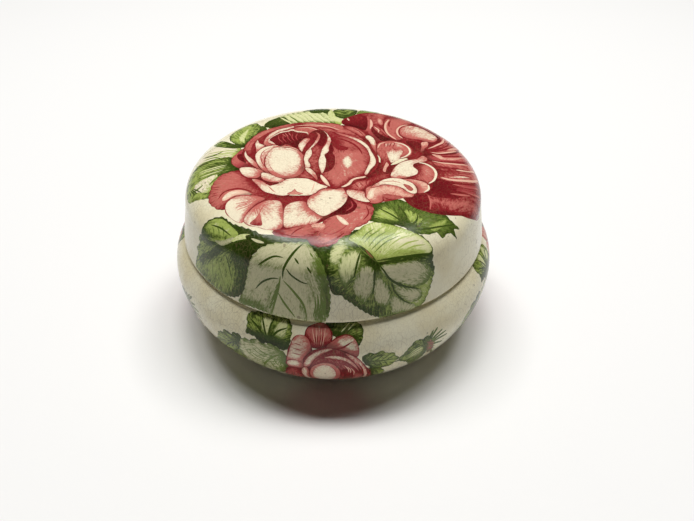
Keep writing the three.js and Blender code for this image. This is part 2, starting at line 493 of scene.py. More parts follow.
def pale_leaf(art):
    """The pale veined leaf at the middle of the front."""
    art.petal(
        [(-21, -43.2), (-17, -42.6), (-12, -43.1), (-8, -43), (-5.8, -46), (-3.6, -50), (-2.3, -54),
         (-1.6, -58), (-1.6, -63), (-3, -68.4), (-8, -69.3), (-14, -68.4), (-21, -66.5), (-28, -63),
         (-34, -60), (-37.6, -57.6), (-33.5, -55), (-30, -51.5), (-27, -47.8), (-24, -45)],
        LEAF_GREY, LEAF, root=(-9, -42), reach=2, base=0.02, edge=0.35, soft=1.5, streak=1.7, teeth=0.5,
        line=0.18, ink=LEAF, rays=20,
    )
    art.wash([(-4.6, -50), (-3.4, -56), (-3, -63), (-5.5, -67.5)], 4.6, 1.2)
    art.wash([(-2.6, -57), (-2.6, -66)], 1.6, 0.9)
    art.wash([(-36, -57.4), (-31.5, -59.4), (-28, -62)], 4.2, 1.0)
    art.wash([(-31, -55.2), (-28.6, -57)], 2.4, 0.4)
    art.wash([(-22, -47.8), (-16.5, -50)], 3.0, 0.6)
    art.wash([(-22.5, -57), (-24.5, -62)], 3.4, 0.55)
    art.wash([(-12, -63), (-11, -67.6)], 2.4, 0.7)
    art.wash([(-8.8, -52.5), (-7.6, -58), (-8.6, -62)], 2.2, 0.55)
    art.stroke([(-8.8, -43.4), (-11.6, -46), (-15, -50.2), (-16.4, -53.6)], 0.75, LEAF_DARK, tone=0.5)
    art.stroke([(-16.8, -52.6), (-18.8, -56.4), (-21.4, -60.4), (-24.6, -65)], 0.85, LEAF)
    art.hatch([(-17.4, -54), (-22, -61)], [(-19.6, -56), (-25.6, -63.4)], 6, 0.45, LEAF)
    art.stroke([(-14.8, -47.2), (-17.4, -46.5), (-20, -47), (-23.6, -48.2)], 0.6, LEAF_DARK, tone=0.4)
    art.stroke([(-17.6, -53.5), (-20, -53), (-24, -53.6), (-28, -55.4)], 0.6, LEAF_DARK, tone=0.4)
    art.stroke([(-14.4, -50.4), (-13, -52.8), (-10.6, -55), (-8.2, -56)], 0.6, LEAF_DARK, tone=0.4)
    art.stroke([(-16.4, -54), (-13.5, -58.4), (-11, -63), (-10.4, -68)], 0.85, LEAF)
    art.hatch([(-6.6, -60), (-3, -58)], [(-8.6, -67.4), (-3.4, -67)], 7, 0.5, LEAF, bow=0.08)
    art.stroke([(-19.6, -57.4), (-18, -61.8), (-15, -67)], 0.75, LEAF)
    art.stroke([(-11.5, -47.6), (-10.3, -49.6)], 0.55, LEAF_DARK, tone=1.0)
    art.stroke([(-8, -50.4), (-6.8, -52.6)], 0.55, LEAF_DARK)
    art.stroke([(-7, -46.4), (-6, -48)], 0.4, LEAF)


def fan_leaf(art):
    """A fan-shaped leaf: a dark edge, pale panels between its veins, and a flap turned over, pale with a
    painted highlight.
    """
    stem = (12.3, -48.5)
    art.petal(
        [(2, -41.5), (8, -38), (14, -36.5), (20, -37), (25, -38.2), (29.6, -41), (32, -45),
         (34.6, -47.5), (35.6, -51), (36, -55), (35.2, -59.5), (32, -62.5), (26, -65), (20, -67.2),
         (13, -66), (7.5, -63.5), (3, -60.5), (-0.4, -56.6), (-1.6, -52), (-1.6, -46.5)],
        LEAF_LIGHT, LEAF_DARK, root=stem, reach=4, base=0.6, edge=0.4, streak=2.4, teeth=0.6, shadow=0.3,
        rays=18,
    )
    art.wash([(32, -50), (33.6, -56), (30, -61.4)], 5.4, -1.0)
    art.wash([(31.5, -45.4), (33.6, -48.4)], 2.5, 0.6)
    art.wash([(3, -59), (9, -64), (16, -65.4)], 2.6, 0.35)
    art.petal(
        [(-1.2, -49.6), (-0.8, -45.5), (1.6, -41.6), (6.4, -40.6), (6.6, -43.6), (3.2, -46), (1, -49.8)],
        LEAF_PALE, LEAF, root=(6, -44), reach=4.6, edge=0.6, soft=1.4, streak=2.2,
    )
    fans = (
        ([(1.2, -50), (3, -47), (7.4, -45.4), (7.7, -48), (6.8, -51.6), (5, -55), (3.6, -57.6),
          (1.6, -54.4)], (3.5, -59.5), 7, LEAF_PALE),
        ([(6.8, -52.6), (8.4, -50.2), (11.6, -50.8), (12.8, -54.5), (12.4, -59.4), (10.6, -62.6),
          (8, -60.6), (6.2, -57.2)], (9.6, -65), 7, LEAF_GREY),
        ([(13.2, -54), (15.4, -54), (18.4, -56.6), (20.4, -60.4), (19.4, -62.8), (16.2, -62.6),
          (13.8, -59.4)], (18, -66), 6, LEAF_GREY),
        ([(19.6, -55), (24, -55.8), (31.6, -55), (33.4, -57.4), (30, -59.8), (24, -58.8)],
         (36, -58), 6, LEAF_GREY),
        ([(20.4, -58.8), (24.4, -59.8), (31.6, -60.4), (31, -62.4), (27, -64.2), (23, -65), (21, -62.6)],
         (27, -67), 5, LEAF_GREY),
        ([(13.6, -50), (18, -48.6), (25, -46.6), (32.4, -47.4), (33.8, -51.2), (30, -54.2), (22.5, -54.4),
          (17.5, -53.4)], (36.5, -51), 10, LEAF_GREY),
    )
    for points, root, reach, light in fans:
        art.petal(points, light, LEAF, root=root, reach=reach, edge=0.75, soft=1.7, streak=2.4, rays=12)
    art.wash([(15, -50), (24, -48.6)], 2.2, -0.4)
    art.petal(
        [(4.2, -42), (6.6, -39.4), (9, -36.6), (13, -34.6), (15.5, -35.6), (20, -37), (24.6, -38.4),
         (29.4, -41), (29.6, -43), (24.6, -44.6), (19, -46.6), (14, -48.6), (12, -48.4), (9, -46.4),
         (6.6, -43.8)],
        LEAF_PALE, LEAF_LIGHT, root=(12, -49.4), reach=4.6, base=0.55, edge=0.5, soft=1.6, streak=2.6,
        line=0.2, ink=LEAF, rays=14,
    )
    # painted highlight: the flap's upper part lightened towards cream where the glaze shines
    art.wash([(19, -41.6), (24, -40.6), (27.6, -41.4)], 3.6, -1.6)
    art.wash([(9.6, -36.4), (13, -35.4)], 2.0, -1.0)
    art.wash([(7.5, -42), (12, -41.4), (17, -39.4)], 2.4, 0.75)
    art.wash([(15, -47.6), (21, -45), (27, -43.4)], 1.8, 0.8)
    art.wash([(6, -40.6), (8, -38)], 1.6, 0.5)
    art.hatch([(9.6, -41), (21.6, -45)], [(14, -36), (28.6, -41.6)], 6, 0.4, LEAF_LIGHT, bow=0.06)
    art.hatch([(7.4, -42), (12, -46.6)], [(10.6, -37.6), (20.6, -40)], 5, 0.35, LEAF, bow=0.06)
    art.stroke([stem, (15, -51), (18.4, -53.8), (24, -55.2), (31.5, -55)], 0.7, LEAF_DARK, tone=0.5)
    art.stroke([(7, -44), (9.6, -46.2), stem], 0.9, LEAF_DARK, tone=1.0)
    art.stroke([stem, (12.2, -52), (13, -56), (13, -60)], 0.6, LEAF_DARK, tone=0.5)
    art.stroke([(7.6, -46), (6.6, -50), (6, -54)], 0.6, LEAF_DARK, tone=0.5)
    art.stroke([(18.6, -54), (21, -57.4), (25.4, -59.8), (29.6, -60.6)], 0.5, LEAF_DARK)
    art.stroke([stem, (18, -47), (25, -45.2), (31, -45.4)], 0.7, LEAF_DARK)
    art.stroke([(9, -45.4), (10.2, -46.8), (11.4, -47.8)], 0.45, RUST)


def pointed_leaf(art):
    """The dark pointed leaf under the second rose."""
    art.petal(
        [(10.5, -26), (15, -25), (19, -23), (23, -25), (27, -28.5), (33.6, -28.8), (36.4, -30.6),
         (40, -32, 1), (37.6, -33.2), (39.8, -35.6, 1), (35.8, -35), (33.4, -37.6, 1), (31, -36.4),
         (28.6, -37.6), (24.2, -38.2), (20, -36.4), (14.5, -35.4), (10, -33.5)],
        LEAF, LEAF_DARK, root=(20, -36), reach=6, base=0.4, edge=0.5, soft=1.4, streak=2.4, teeth=0.3,
        shadow=0.35, rays=14,
    )
    art.wash([(25.5, -34), (31, -33.4)], 2.2, -0.5)
    art.petal(
        [(11.8, -28.4), (14.6, -27), (18, -29.2), (20.4, -34.6), (17.5, -34.9), (14.5, -33.2),
         (11.6, -32.8)],
        LEAF_LIGHT, LEAF_DARK, root=(21.6, -36.4), reach=6, edge=0.7, soft=1.6, streak=2.4,
    )
    art.petal(
        [(21, -28.8), (23.8, -29.2), (26.6, -32.4), (25.6, -35.6), (22.6, -35.4), (21.4, -32.4)],
        LEAF_LIGHT, LEAF_DARK, root=(23.6, -37.4), reach=5, edge=0.7, soft=1.6, streak=2.4,
    )
    art.petal(
        [(28.6, -34.8), (31.4, -32.4), (34.8, -30.8), (33, -34), (30, -36.2)],
        LEAF_LIGHT, LEAF, edge=0.7, soft=1.0, streak=2.0,
    )
    for end in ((12.4, -27), (19.6, -26), (25.4, -30.6)):
        art.stroke(
            [(21.6, -36.8), ((21.6 + end[0]) / 2 + 1.0, (-36.8 + end[1]) / 2), end],
            0.6, LEAF_DARK, tone=0.6,
        )
    art.stroke([(22, -37.6), (28, -35.8), (33, -33.6), (37, -31.8)], 0.55, LEAF_DARK, tone=0.6)


def second_rose_back(art):
    """The far petals of the darker rose, which wraps over the lid's shoulder at the right."""
    art.petal(
        [(3.2, 27), (3.5, 31), (6, 33.5), (9.5, 36.4), (14, 38), (18, 38.4), (22.5, 37), (27, 34.4),
         (31, 31.5), (35, 28.4), (38.6, 24), (41.6, 19.4), (44.5, 14), (47.5, 8), (50, 2), (52, -4),
         (53.2, -10), (53.4, -15.5), (51.5, -20), (48.5, -23.8), (44, -26.2), (39, -27.4), (34, -29.2),
         (29, -29.2), (25, -27.6), (22.2, -24), (21.8, -21), (26, -14), (26, 0), (15, 8), (12, 18),
         (8, 22)],
        ROSE, CRIMSON, base=0.55, edge=0.5, streak=1.6,
    )
    art.petal(
        [(3.4, 27), (4, 31), (6.4, 33.2), (9, 36), (11.8, 34.6), (13, 31), (12.8, 27), (11.5, 22),
         (8.5, 23.8)],
        CRIMSON, DEEP, root=(9, 24), reach=9, base=0.1, streak=1.9,
    )
    art.stroke([(5.2, 32.4), (5.8, 29.8)], 0.7, BLUSH)
    art.petal(
        [(12.9, 34.6), (14.3, 30), (14.6, 26), (13.6, 22), (15, 17), (17, 13.8), (14, 14.5), (12.4, 21),
         (12.6, 26), (12.8, 30)],
        ROSE, DUSK, root=(15, 15),
    )
    art.stroke([(14, 31.5), (14.1, 27), (13.4, 23)], 0.9, BLUSH)
    art.petal(
        [(14.2, 25), (15.8, 21), (18, 17.5), (21, 15, 1), (17.5, 13.4), (15.2, 17), (13.8, 21)],
        CRIMSON, DEEP, root=(18, 16), base=0.3,
    )
    art.petal(
        [(15.6, 36.5), (16.6, 31), (16, 26.5), (18, 22), (20.4, 15.5), (19.4, 24), (19, 29), (20.5, 33),
         (19, 37.4)],
        ROSE, CRIMSON, root=(19.5, 18), reach=12, streak=1.3,
    )
    art.petal(
        [(16.9, 32.4), (18.2, 31.6), (18.5, 28), (17.6, 26.4), (16.6, 29)],
        BLUSH, ROSE, edge=0.8, soft=1,
    )
    art.stroke([(15, 25), (16.4, 22.4), (16.3, 20.2)], 0.6, BLUSH)
    art.stroke([(17.4, 23.5), (18.4, 20.4), (19.6, 17.4)], 0.5, ROSE)
    art.petal(
        [(19.6, 31.5), (22, 34.6), (26, 34.4), (29.5, 31.6), (28.5, 28), (26, 26), (23.8, 23),
         (23.6, 19.5), (24.6, 16.5), (22.7, 14.2), (20.4, 17), (19.2, 20), (18.8, 25)],
        ROSE, CRIMSON, root=(21, 37), reach=7, line=0.3,
    )
    art.stroke([(21, 31.8), (19.6, 28), (19.1, 23.5), (19.9, 19), (22.4, 15)], 0.8, BLUSH, blunt=True)
    art.stroke([(21.6, 31), (20.7, 28), (20.6, 25)], 0.7, CRIMSON)


def second_rose_heart(art):
    """The darker rose's pale heart."""
    art.petal(
        [(23, 21), (23.6, 24.6), (26.2, 27.4), (29.8, 27.6), (33.2, 26.3), (36, 23.4), (38.4, 19.5),
         (38.2, 16), (36, 12.9), (33, 13), (30.5, 14.2), (27.6, 14.6), (24.8, 15.6), (23.2, 18)],
        ROSE, CRIMSON, root=(38, 25), reach=10, base=0.1,
    )
    art.petal(
        [(24.2, 21), (24.8, 24), (26.8, 26.2), (29.7, 26.7), (32.7, 25.4), (35.2, 22.8), (37.4, 19.5),
         (37.4, 16.5), (35.6, 14), (33, 14.3), (30.8, 15.6), (28.3, 16), (25.8, 17), (24.4, 18.8)],
        CREAM, ROSE, root=(25, 15), reach=14, depth=1.15, base=0.04, soft=2.2, line=0.25,
    )
    art.wash([(26, 23), (30, 25.6)], 2.0, 0.25)
    art.wash([(31, 15.6), (35, 14.6)], 1.6, 0.4)
    art.stroke([(27.8, 27.6), (25, 26), (23.4, 22.7), (23.4, 18.8), (24.8, 16)], 0.7, BLUSH, blunt=True)
    art.hatch([(25, 18), (30, 15.4)], [(26.4, 21), (31, 18)], 5, 0.3, ROSE)
    art.petal(
        [(26, 14.5), (30, 13.6), (31.5, 10), (30.4, 6.6), (28.3, 6), (27.6, 9), (26, 12)],
        ROSE, CRIMSON, root=(27, 12), reach=6, base=0.5, streak=2.0,
    )
    art.petal(
        [(30.3, 6.8), (31, 10), (31.3, 13.3), (33.4, 14), (33.6, 12), (32.6, 9.5), (31.2, 7)],
        BLUSH, ROSE, root=(31, 6), reach=6, line=0.25,
    )


def second_rose_sweeps(art):
    """Petals sweeping round the darker rose's heart to the right."""
    sweeps = [
        (CRIMSON, [(43.2, 20), (42, 14), (38.5, 9.6), (33.4, 7), (32.4, 9), (36, 12), (38.8, 16),
                   (39.4, 21.5)]),
        (CRIMSON, [(46, 14.5), (43, 9), (38, 5.4), (32.6, 4.2), (32, 6), (36.5, 8.4), (40.4, 12),
                   (42.8, 17)]),
        (DUSK, [(49, 7), (45, 3), (39, 0.6), (33, 1), (32.2, 3.6), (37, 4.4), (42, 6.6), (46.2, 11.5)]),
        (CRIMSON, [(51, 0.5), (47, -2), (40, -3.4), (34, -2.4), (32.4, 0.6), (38, -0.4), (44, 1.6),
                   (49, 6)]),
    ]
    for dark, points in sweeps:
        art.petal(
            points, ROSE, dark, root=(31, 5), reach=9, base=0.1, edge=0.6, soft=1.2, line=0.4,
            streak=2.0,
        )
    for line in (
        [(33, 6.6), (38.6, 8.6), (45, 15)],
        [(33.6, 3.4), (41, 4.6), (48, 9.6)],
        [(34, -0.4), (42, 1.0), (50, 4.6)],
        [(34, 9.2), (38, 12.4), (40.6, 18)],
    ):
        art.stroke(line, 1.0, CRIMSON)
    art.stroke([(40.6, 20), (39.2, 15), (36, 11.2), (33.2, 9)], 0.8, BLUSH)
    art.petal(
        [(45, 14.4), (42.6, 12.4), (39.8, 8.8), (41, 8.8), (44, 11.6)],
        BLUSH, ROSE, edge=0.8, soft=0.9,
    )
    art.stroke([(44, 10.4), (40.6, 7.6), (37, 6), (33.8, 6.4)], 0.8, BLUSH)
    art.petal(
        [(34, 5), (36.8, 4.4), (38.2, 2.8), (42, 3.8), (46.5, 7.5), (42, 2.6), (37.4, 1.6), (36, 2.6)],
        BLUSH, ROSE,
    )
    art.stroke([(33.4, 0.4), (38, -0.8), (43, 0), (47, 2.4)], 0.7, BLUSH)
    art.stroke([(41, -4.4), (46, -3), (50, 1)], 1.2, BLUSH)
    art.petal(
        [(34.8, -4.6), (37, -5.6), (41, -5), (46, -3), (50.8, 0.6), (52, -4), (49, -7.6), (44, -9.8),
         (38.5, -10.9), (35.2, -9.4), (34.2, -6.8)],
        ROSE, CRIMSON, root=(36, -3), base=0.15, streak=2.2,
    )
    art.hatch([(37, -5), (36.4, -9)], [(48, -1.6), (47, -7)], 4, 0.4, CRIMSON, bow=-0.08)
    art.stroke([(35, -10), (38.4, -11), (42.5, -10), (47, -7.6), (51, -3.6)], 1.0, BLUSH, blunt=True)
    art.petal([(38, -9.8), (42, -8.8), (46.5, -6.2), (42.5, -7.4)], CREAM, ROSE, edge=0.8, soft=0.8)


def second_rose_front(art):
    """The darker rose's dark hollow, and its turned-down outer petals."""
    art.petal(
        [(29.6, -17), (31.6, -13.6), (33.8, -10.6), (38, -12), (44, -10.8), (51.5, -5.6), (53, -12),
         (48, -15.4), (42, -18.4), (38, -21), (32, -21.6), (29.4, -20)],
        CRIMSON, DEEP, root=(34, -16), reach=9, edge=0.2, streak=1.8,
    )
    for line in (
        [(38.5, -13.6), (44, -12.6), (50, -9.4)],
        [(41, -16), (46.5, -14.8), (51.5, -12.4)],
        [(37, -18.8), (41, -18), (45, -16.4)],
    ):
        art.stroke(line, 0.8, ROSE)
    art.hatch([(41, -12.6), (39, -17)], [(49.6, -8), (48, -14)], 6, 0.4, DUSK, bow=-0.05)
    art.petal(
        [(27.6, -21.4), (32, -21.8), (38, -21.2), (42, -19.2), (47.5, -17.4), (52.5, -18), (52.6, -21),
         (48.2, -24.2), (42, -26.4), (37, -28.4), (33, -29.3), (28.6, -29.2), (26, -26)],
        ROSE, CRIMSON, root=(33, -31), reach=7, base=0.5, streak=2.2,
    )
    art.wash([(31, -23.2), (37, -23), (43, -21.2), (48, -19.6)], 2.2, -0.45)
    art.wash([(30, -28.4), (38, -27.6), (46, -24.6)], 2.4, 0.6)
    art.petal(
        [(22.2, -21.6), (26, -20.2), (29.2, -20.4), (29.8, -24), (28.6, -28.6), (25, -27.8), (22.3, -24.4)],
        CRIMSON, DEEP, root=(26, -25), reach=5, base=0.05, streak=1.8,
    )
    art.stroke([(29.6, -20.6), (30, -24), (29.4, -28)], 0.5, ROSE)


SECOND_ROSE = (second_rose_back, second_rose_heart, second_rose_sweeps, second_rose_front)


def rose_outer_petals(art):
    """The first rose's outermost petals, low and to the left."""
    art.petal(
        [(-34.3, 3), (-32.8, 6.6), (-30.8, 8.8), (-28, 6), (-26, 0), (-26, -6), (-31, -4.9), (-33.7, -2.4),
         (-34.6, 0.4)],
        ROSE, DUSK, root=(-30, -4), reach=5, line=0.25,
    )
    art.petal(
        [(-33.2, 4.4), (-31.6, 4.6), (-30, 1.6), (-28.8, -1.8), (-30.6, -0.6), (-32.6, 1.6)],
        CRIMSON, DEEP, base=0.2,
    )
    art.petal(
        [(-31, -6.4), (-34.4, -7.2), (-37.2, -9.4), (-38.8, -14), (-39, -17.6), (-39.4, -20.6),
         (-38, -23.6), (-35.4, -26), (-32.6, -26.6), (-28, -28), (-20, -24), (-17, -16), (-24, -10),
         (-28, -6.5)],
        ROSE, CRIMSON, root=(-24, -14), reach=9, depth=0.8, edge=0.55, line=0.25, streak=1.7,
        ruffle=0.35, rays=22,
    )
    art.wash([(-27, -8), (-24.4, -13), (-21.5, -18)], 4.0, 0.55)
    art.hatch([(-38.6, -14), (-38.8, -21)], [(-36.4, -15), (-36.6, -20)], 4, 0.3, CRIMSON)
    art.stroke([(-36.2, -21.6), (-34.6, -18.4), (-31, -16.9), (-27.6, -17.8), (-25, -19.8)], 0.8, CRIMSON)
    art.petal(
        [(-34.8, -21.6), (-33.5, -19.1), (-31, -17.7), (-28, -18.2), (-25.6, -20.4), (-28.5, -20.4),
         (-31, -20.8), (-33.3, -22.6), (-34.6, -22.8)],
        CREAM, BLUSH, root=(-26, -20.5), edge=0.7, soft=1.2,
    )
    art.petal(
        [(-25, -19.5), (-15, -21.2), (-7, -21.4), (-3, -19), (-2, -33), (-8, -36), (-15, -38.3),
         (-24, -35), (-29, -28)],
        ROSE, CRIMSON, root=(-15, -20), base=0.1, streak=1.5,
    )
    art.petal(
        [(-26, -20.9), (-23, -21.8), (-21.4, -23), (-24.2, -25.8), (-26.4, -30), (-27, -33.2),
         (-28.2, -33.6), (-31, -31.2), (-33, -27.8), (-33.2, -24.6), (-31.6, -22.2), (-29, -20.9)],
        CREAM, ROSE, root=(-22.5, -22), reach=11, depth=0.95, base=0.05, edge=0.3, soft=1.6, line=0.22,
        ink=DUSK,
    )
    art.wash([(-32, -25), (-31.4, -29), (-29, -32)], 2.6, -0.4)
    art.hatch([(-25.6, -22.4), (-25, -25.6)], [(-30.4, -24.4), (-29.4, -28.6)], 4, 0.28, ROSE, bow=0.1)
    art.petal(
        [(-18.5, -23.8), (-16.3, -25), (-15.5, -29), (-15.1, -34), (-15.4, -37.2), (-17.5, -38),
         (-20, -37.4), (-22.5, -36.2), (-25.2, -34.9), (-27, -32.8), (-25.7, -29.3), (-23.5, -26),
         (-21, -24.1)],
        CREAM, ROSE, root=(-24, -26), reach=10, depth=0.95, edge=0.3, soft=1.8, line=0.22, ink=DUSK,
    )
    art.wash([(-16.4, -27), (-16, -32)], 1.8, 0.35)
    art.petal(
        [(-22.4, -29.6, 1), (-21.7, -32.6), (-21.4, -35.8), (-25, -34.6), (-23.4, -32.4)],
        ROSE, CRIMSON, root=(-23.4, -36.2), reach=4.2, edge=0.2, soft=1.0, streak=1.8,
    )
    art.stroke([(-22.5, -30.6), (-21.8, -27.4), (-19.8, -25.2)], 0.3, ROSE)
    art.hatch([(-24.8, -27.6), (-23, -25.6)], [(-24, -31), (-21.4, -29.6)], 3, 0.28, ROSE)
    art.petal(
        [(-14.9, -28), (-13.4, -25.6), (-11, -24.6), (-8.8, -25), (-7, -28), (-4.8, -31.4), (-3, -33),
         (-4, -35.2), (-8, -36.5), (-12, -37.1), (-14.4, -37.1), (-15, -33)],
        CREAM, ROSE, root=(-5.4, -27), reach=9, depth=1.0, edge=0.3, soft=1.6, line=0.22, ink=DUSK,
    )
    art.wash([(-13.8, -26.6), (-14.2, -31)], 1.6, 0.35)
    art.hatch([(-8, -26.4), (-5.4, -31)], [(-9.6, -29), (-7.6, -33)], 4, 0.28, ROSE)


def rose_turned_petals(art):
    """The first rose's petals turned down at its bottom."""
    art.petal(
        [(-17.6, -38.2), (-13, -37.7), (-9, -36.5), (-6, -36), (-4, -37), (-4, -39.8), (-6, -41.8),
         (-10.5, -41.5), (-14.5, -40.6), (-17, -39.6)],
        ROSE, CRIMSON, root=(-18, -38.5), reach=6, line=0.25, streak=1.7,
    )
    art.wash([(-14, -39), (-9, -38.6)], 1.6, -0.3)
    art.stroke([(-16, -39.8), (-11, -41), (-6.6, -41.4)], 0.5, CRIMSON)
    art.stroke([(-12.8, -40.6), (-11, -38.6), (-8.5, -37)], 0.45, CRIMSON)
    art.petal(
        [(4, -20.5), (8, -23.8), (10.6, -25), (11.8, -28), (11.2, -31.6), (9.2, -35.3), (6.2, -37.3),
         (4.6, -39.8), (2, -41.4), (0, -43.3), (-2.6, -44.3), (-5.6, -44), (-7.5, -42.2), (-5.6, -40.4),
         (-3, -38), (-3, -35), (-1, -30), (3, -26)],
        ROSE, CRIMSON, root=(-7, -43.5), reach=5, line=0.25, streak=1.6, ruffle=0.3,
    )
    art.wash([(6.5, -29), (8.2, -33), (4.6, -37)], 2.6, -0.35)
    art.stroke([(-6.4, -43.2), (-3, -43.9), (0.4, -42.2), (3, -39.8)], 0.7, CRIMSON)
    art.stroke([(-3.6, -39.6), (-1, -40.4), (2, -38.6), (4.2, -36)], 0.4, DUSK)
    art.stroke([(9.8, -27), (10.4, -30.6), (8.6, -34.2)], 0.4, CRIMSON)
    art.petal(
        [(-6.6, -36.2), (-3.4, -35.6), (-2.6, -37.2), (-4.2, -39.2), (-5.8, -38.2)],
        BLUSH, ROSE, root=(-5, -40), reach=3.4,
    )
    art.petal(
        [(4, -21), (5.9, -24), (7.1, -26.6), (6.2, -29.3), (3.8, -31.3), (1, -31.6), (-1.6, -33),
         (-3.6, -35), (-5.6, -35.6, 1), (-3.6, -33), (-0.8, -30.2), (2, -27.4), (3.6, -24)],
        CRIMSON, DEEP, root=(3, -30), base=0.1, streak=1.6,
    )
    art.stroke([(5.2, -24.4), (5.6, -27.2), (3.6, -29.8)], 0.4, DUSK)
    art.petal(
        [(0.8, -31.8), (2.6, -33), (4.4, -35.9), (2.9, -36.1), (1.2, -33.8)],
        CREAM, BLUSH, edge=0.8, soft=0.8,
    )
    art.petal(
        [(-0.6, -17.3), (3, -17), (4.2, -20), (3.9, -24), (2.1, -27.6), (-0.8, -30.5), (-3.4, -32.1),
         (-6.1, -29.7), (-7.9, -27), (-8.1, -24), (-6.6, -21), (-4, -18.6)],
        CREAM, ROSE, root=(-8.6, -21.6), reach=6, depth=0.8, edge=0.3, soft=1.8, line=0.25,
    )
    art.wash([(1.4, -18.6), (2.8, -22), (1.6, -26)], 1.8, 0.3)


def rose_right_petals(art):
    """The first rose's frilled petals at the right."""
    art.petal(
        [(2, 24.6), (5, 25.4), (8, 24.2), (10.2, 21.8), (12.4, 18.7), (14.4, 14.5), (15.2, 9), (15, 3),
         (15.6, -2), (20, -3), (27, 2), (32, 1), (34, -5), (32.5, -11.5), (31, -17), (27, -20.6),
         (22.5, -22), (16, -24.6), (9, -24.8), (5, -22.4), (3, -18), (0, -10), (0, 10)],
        ROSE, CRIMSON, root=(14, -6), reach=13, base=0.1, streak=1.6,
    )
    art.petal(
        [(2.6, 24.6), (5, 25), (8, 23.6), (10, 21.2), (11.6, 18), (12.4, 14), (10.5, 14.5), (7, 18.5),
         (3, 20.8), (1.4, 22.6)],
        ROSE, CRIMSON, root=(2, 21.6), reach=4.5, line=0.25, streak=1.6,
    )
    art.wash([(5, 23.4), (8.4, 21.4), (10.4, 17.6)], 1.8, -0.6)
    art.stroke([(2.2, 23.8), (2.9, 21.6), (5.5, 19.6)], 1.3, CRIMSON)
    art.stroke([(7, 23.6), (9.4, 20.6), (11, 17)], 0.35, CRIMSON)
    art.petal(
        [(11.6, 17.2), (12.8, 17.5), (14, 16), (14.7, 13.5), (15.1, 9), (14.9, 5), (14.2, 2.6), (13.5, 6),
         (13.2, 10), (12.5, 13.5), (11.5, 15.6)],
        CREAM, ROSE, root=(14.4, 2), reach=9, depth=0.9, edge=0.4, soft=0.9, line=0.3,
    )
    art.stroke([(8.6, 15.6), (11.5, 12), (13.3, 7), (14.7, 1), (13.9, -5), (11.2, -10.2)], 1.1, CRIMSON)
    art.petal(
        [(14.9, 5), (15.2, 9.5), (16, 12), (18, 13.3), (21, 13.7), (24.2, 12.7), (26.5, 10.2), (27.3, 7),
         (26.6, 4), (24.7, 2), (22, 0.8), (20, -1), (18.5, -4), (16.9, -8.4), (15.2, -9), (15.4, -5),
         (16, 0)],
        ROSE, CRIMSON, root=(15.6, -6), reach=9, line=0.3, streak=1.6,
    )
    art.wash([(18, 11), (22, 11.6), (25, 8)], 2.2, -0.5)
    art.hatch([(17, 9), (21.4, 9.4)], [(17.4, 12.4), (22.4, 12.6)], 4, 0.28, CRIMSON)
    art.stroke(
        [(21.5, 12.7), (24.4, 11.6), (26.2, 9), (26.4, 5.6), (24.8, 3), (22.6, 1.4)],
        0.6, CREAM, blunt=True,
    )
    art.petal(
        [(18, 6.4), (19.4, 6.4), (20.3, 8.6), (21.5, 6.6), (23, 7.8), (24, 6.6), (23.6, 4.6), (22.8, 3),
         (22.2, 0.6), (20.6, -0.9), (19.3, -1.6), (18.6, 1.6), (18.4, 4)],
        CREAM, ROSE, root=(21, 10), reach=7, depth=1.1, edge=0.4, soft=1.2, shadow=0.4,
    )
    art.petal(
        [(17.8, -1.6), (18.4, -3.2), (17.5, -5.4), (17, -7.8), (16.2, -7), (16.9, -4)],
        BLUSH, ROSE, edge=0.4,
    )
    art.stroke([(15.3, 8), (16.4, 11.3), (18.4, 12.6)], 0.5, BLUSH)


def rose_curled_petals(art):
    """The first rose's curled petals, lower right."""
    art.petal(
        [(4.4, -16.6), (6.4, -13.4), (9.6, -11.2), (14, -9.6), (19, -9), (17, -13), (12.4, -15.6),
         (10.6, -18), (10, -20), (7, -18.8), (4.6, -18.4)],
        ROSE, CRIMSON, root=(12, -10), reach=6, base=-0.05, streak=1.8,
    )
    art.wash([(6.4, -15.6), (9.4, -14)], 2.0, -0.4)
    art.hatch([(5.6, -15.4), (15, -10.6)], [(7.4, -17.6), (13.4, -14)], 5, 0.3, CRIMSON)
    art.petal(
        [(26.6, -1.6), (29, -1.1), (31.4, -1.8), (33.2, -4.2), (33.8, -7.4), (32.9, -11), (31, -14.2),
         (28, -13), (24, -11.4), (26.5, -9.6), (27.6, -7), (27, -4.6)],
        ROSE, CRIMSON, root=(27.6, -2.6), reach=4.4, line=0.3, streak=1.7,
    )
    art.wash([(30.6, -4), (31.2, -8)], 2.0, -0.5)
    art.stroke(
        [(28.6, -0.9), (31.2, -1.9), (33.2, -4.4), (33.8, -7.7), (32.7, -11.6), (30.6, -14)],
        0.8, CREAM, blunt=True,
    )
    art.petal(
        [(31, 3.4), (32, 1.9), (31.2, 0), (29, -0.9), (27, -2), (26.6, -4), (27.8, -6), (27.5, -8.2),
         (25.5, -9.8), (22.5, -11.2), (19.8, -12), (18.6, -10.2), (19.4, -7), (20.8, -4), (23, -1.2),
         (26, 0.4), (28.6, 1.5), (30.2, 3.4)],
        CREAM, ROSE, root=(30.4, 2), reach=6, depth=0.7, edge=0.35, soft=1.5, line=0.3,
    )
    art.wash([(20.4, -7), (21.6, -10.4)], 1.8, 0.4)
    art.petal(
        [(22.5, -11.8), (26, -12), (29.4, -13.4), (30.4, -16), (29.2, -18.6), (26.6, -19.6), (26.2, -16.5),
         (25, -13.6)],
        BLUSH, ROSE, root=(26.2, -17), reach=4, line=0.2,
    )
    art.stroke([(30.4, -14.6), (30.2, -17.2), (28.4, -19.2)], 0.6, CREAM)


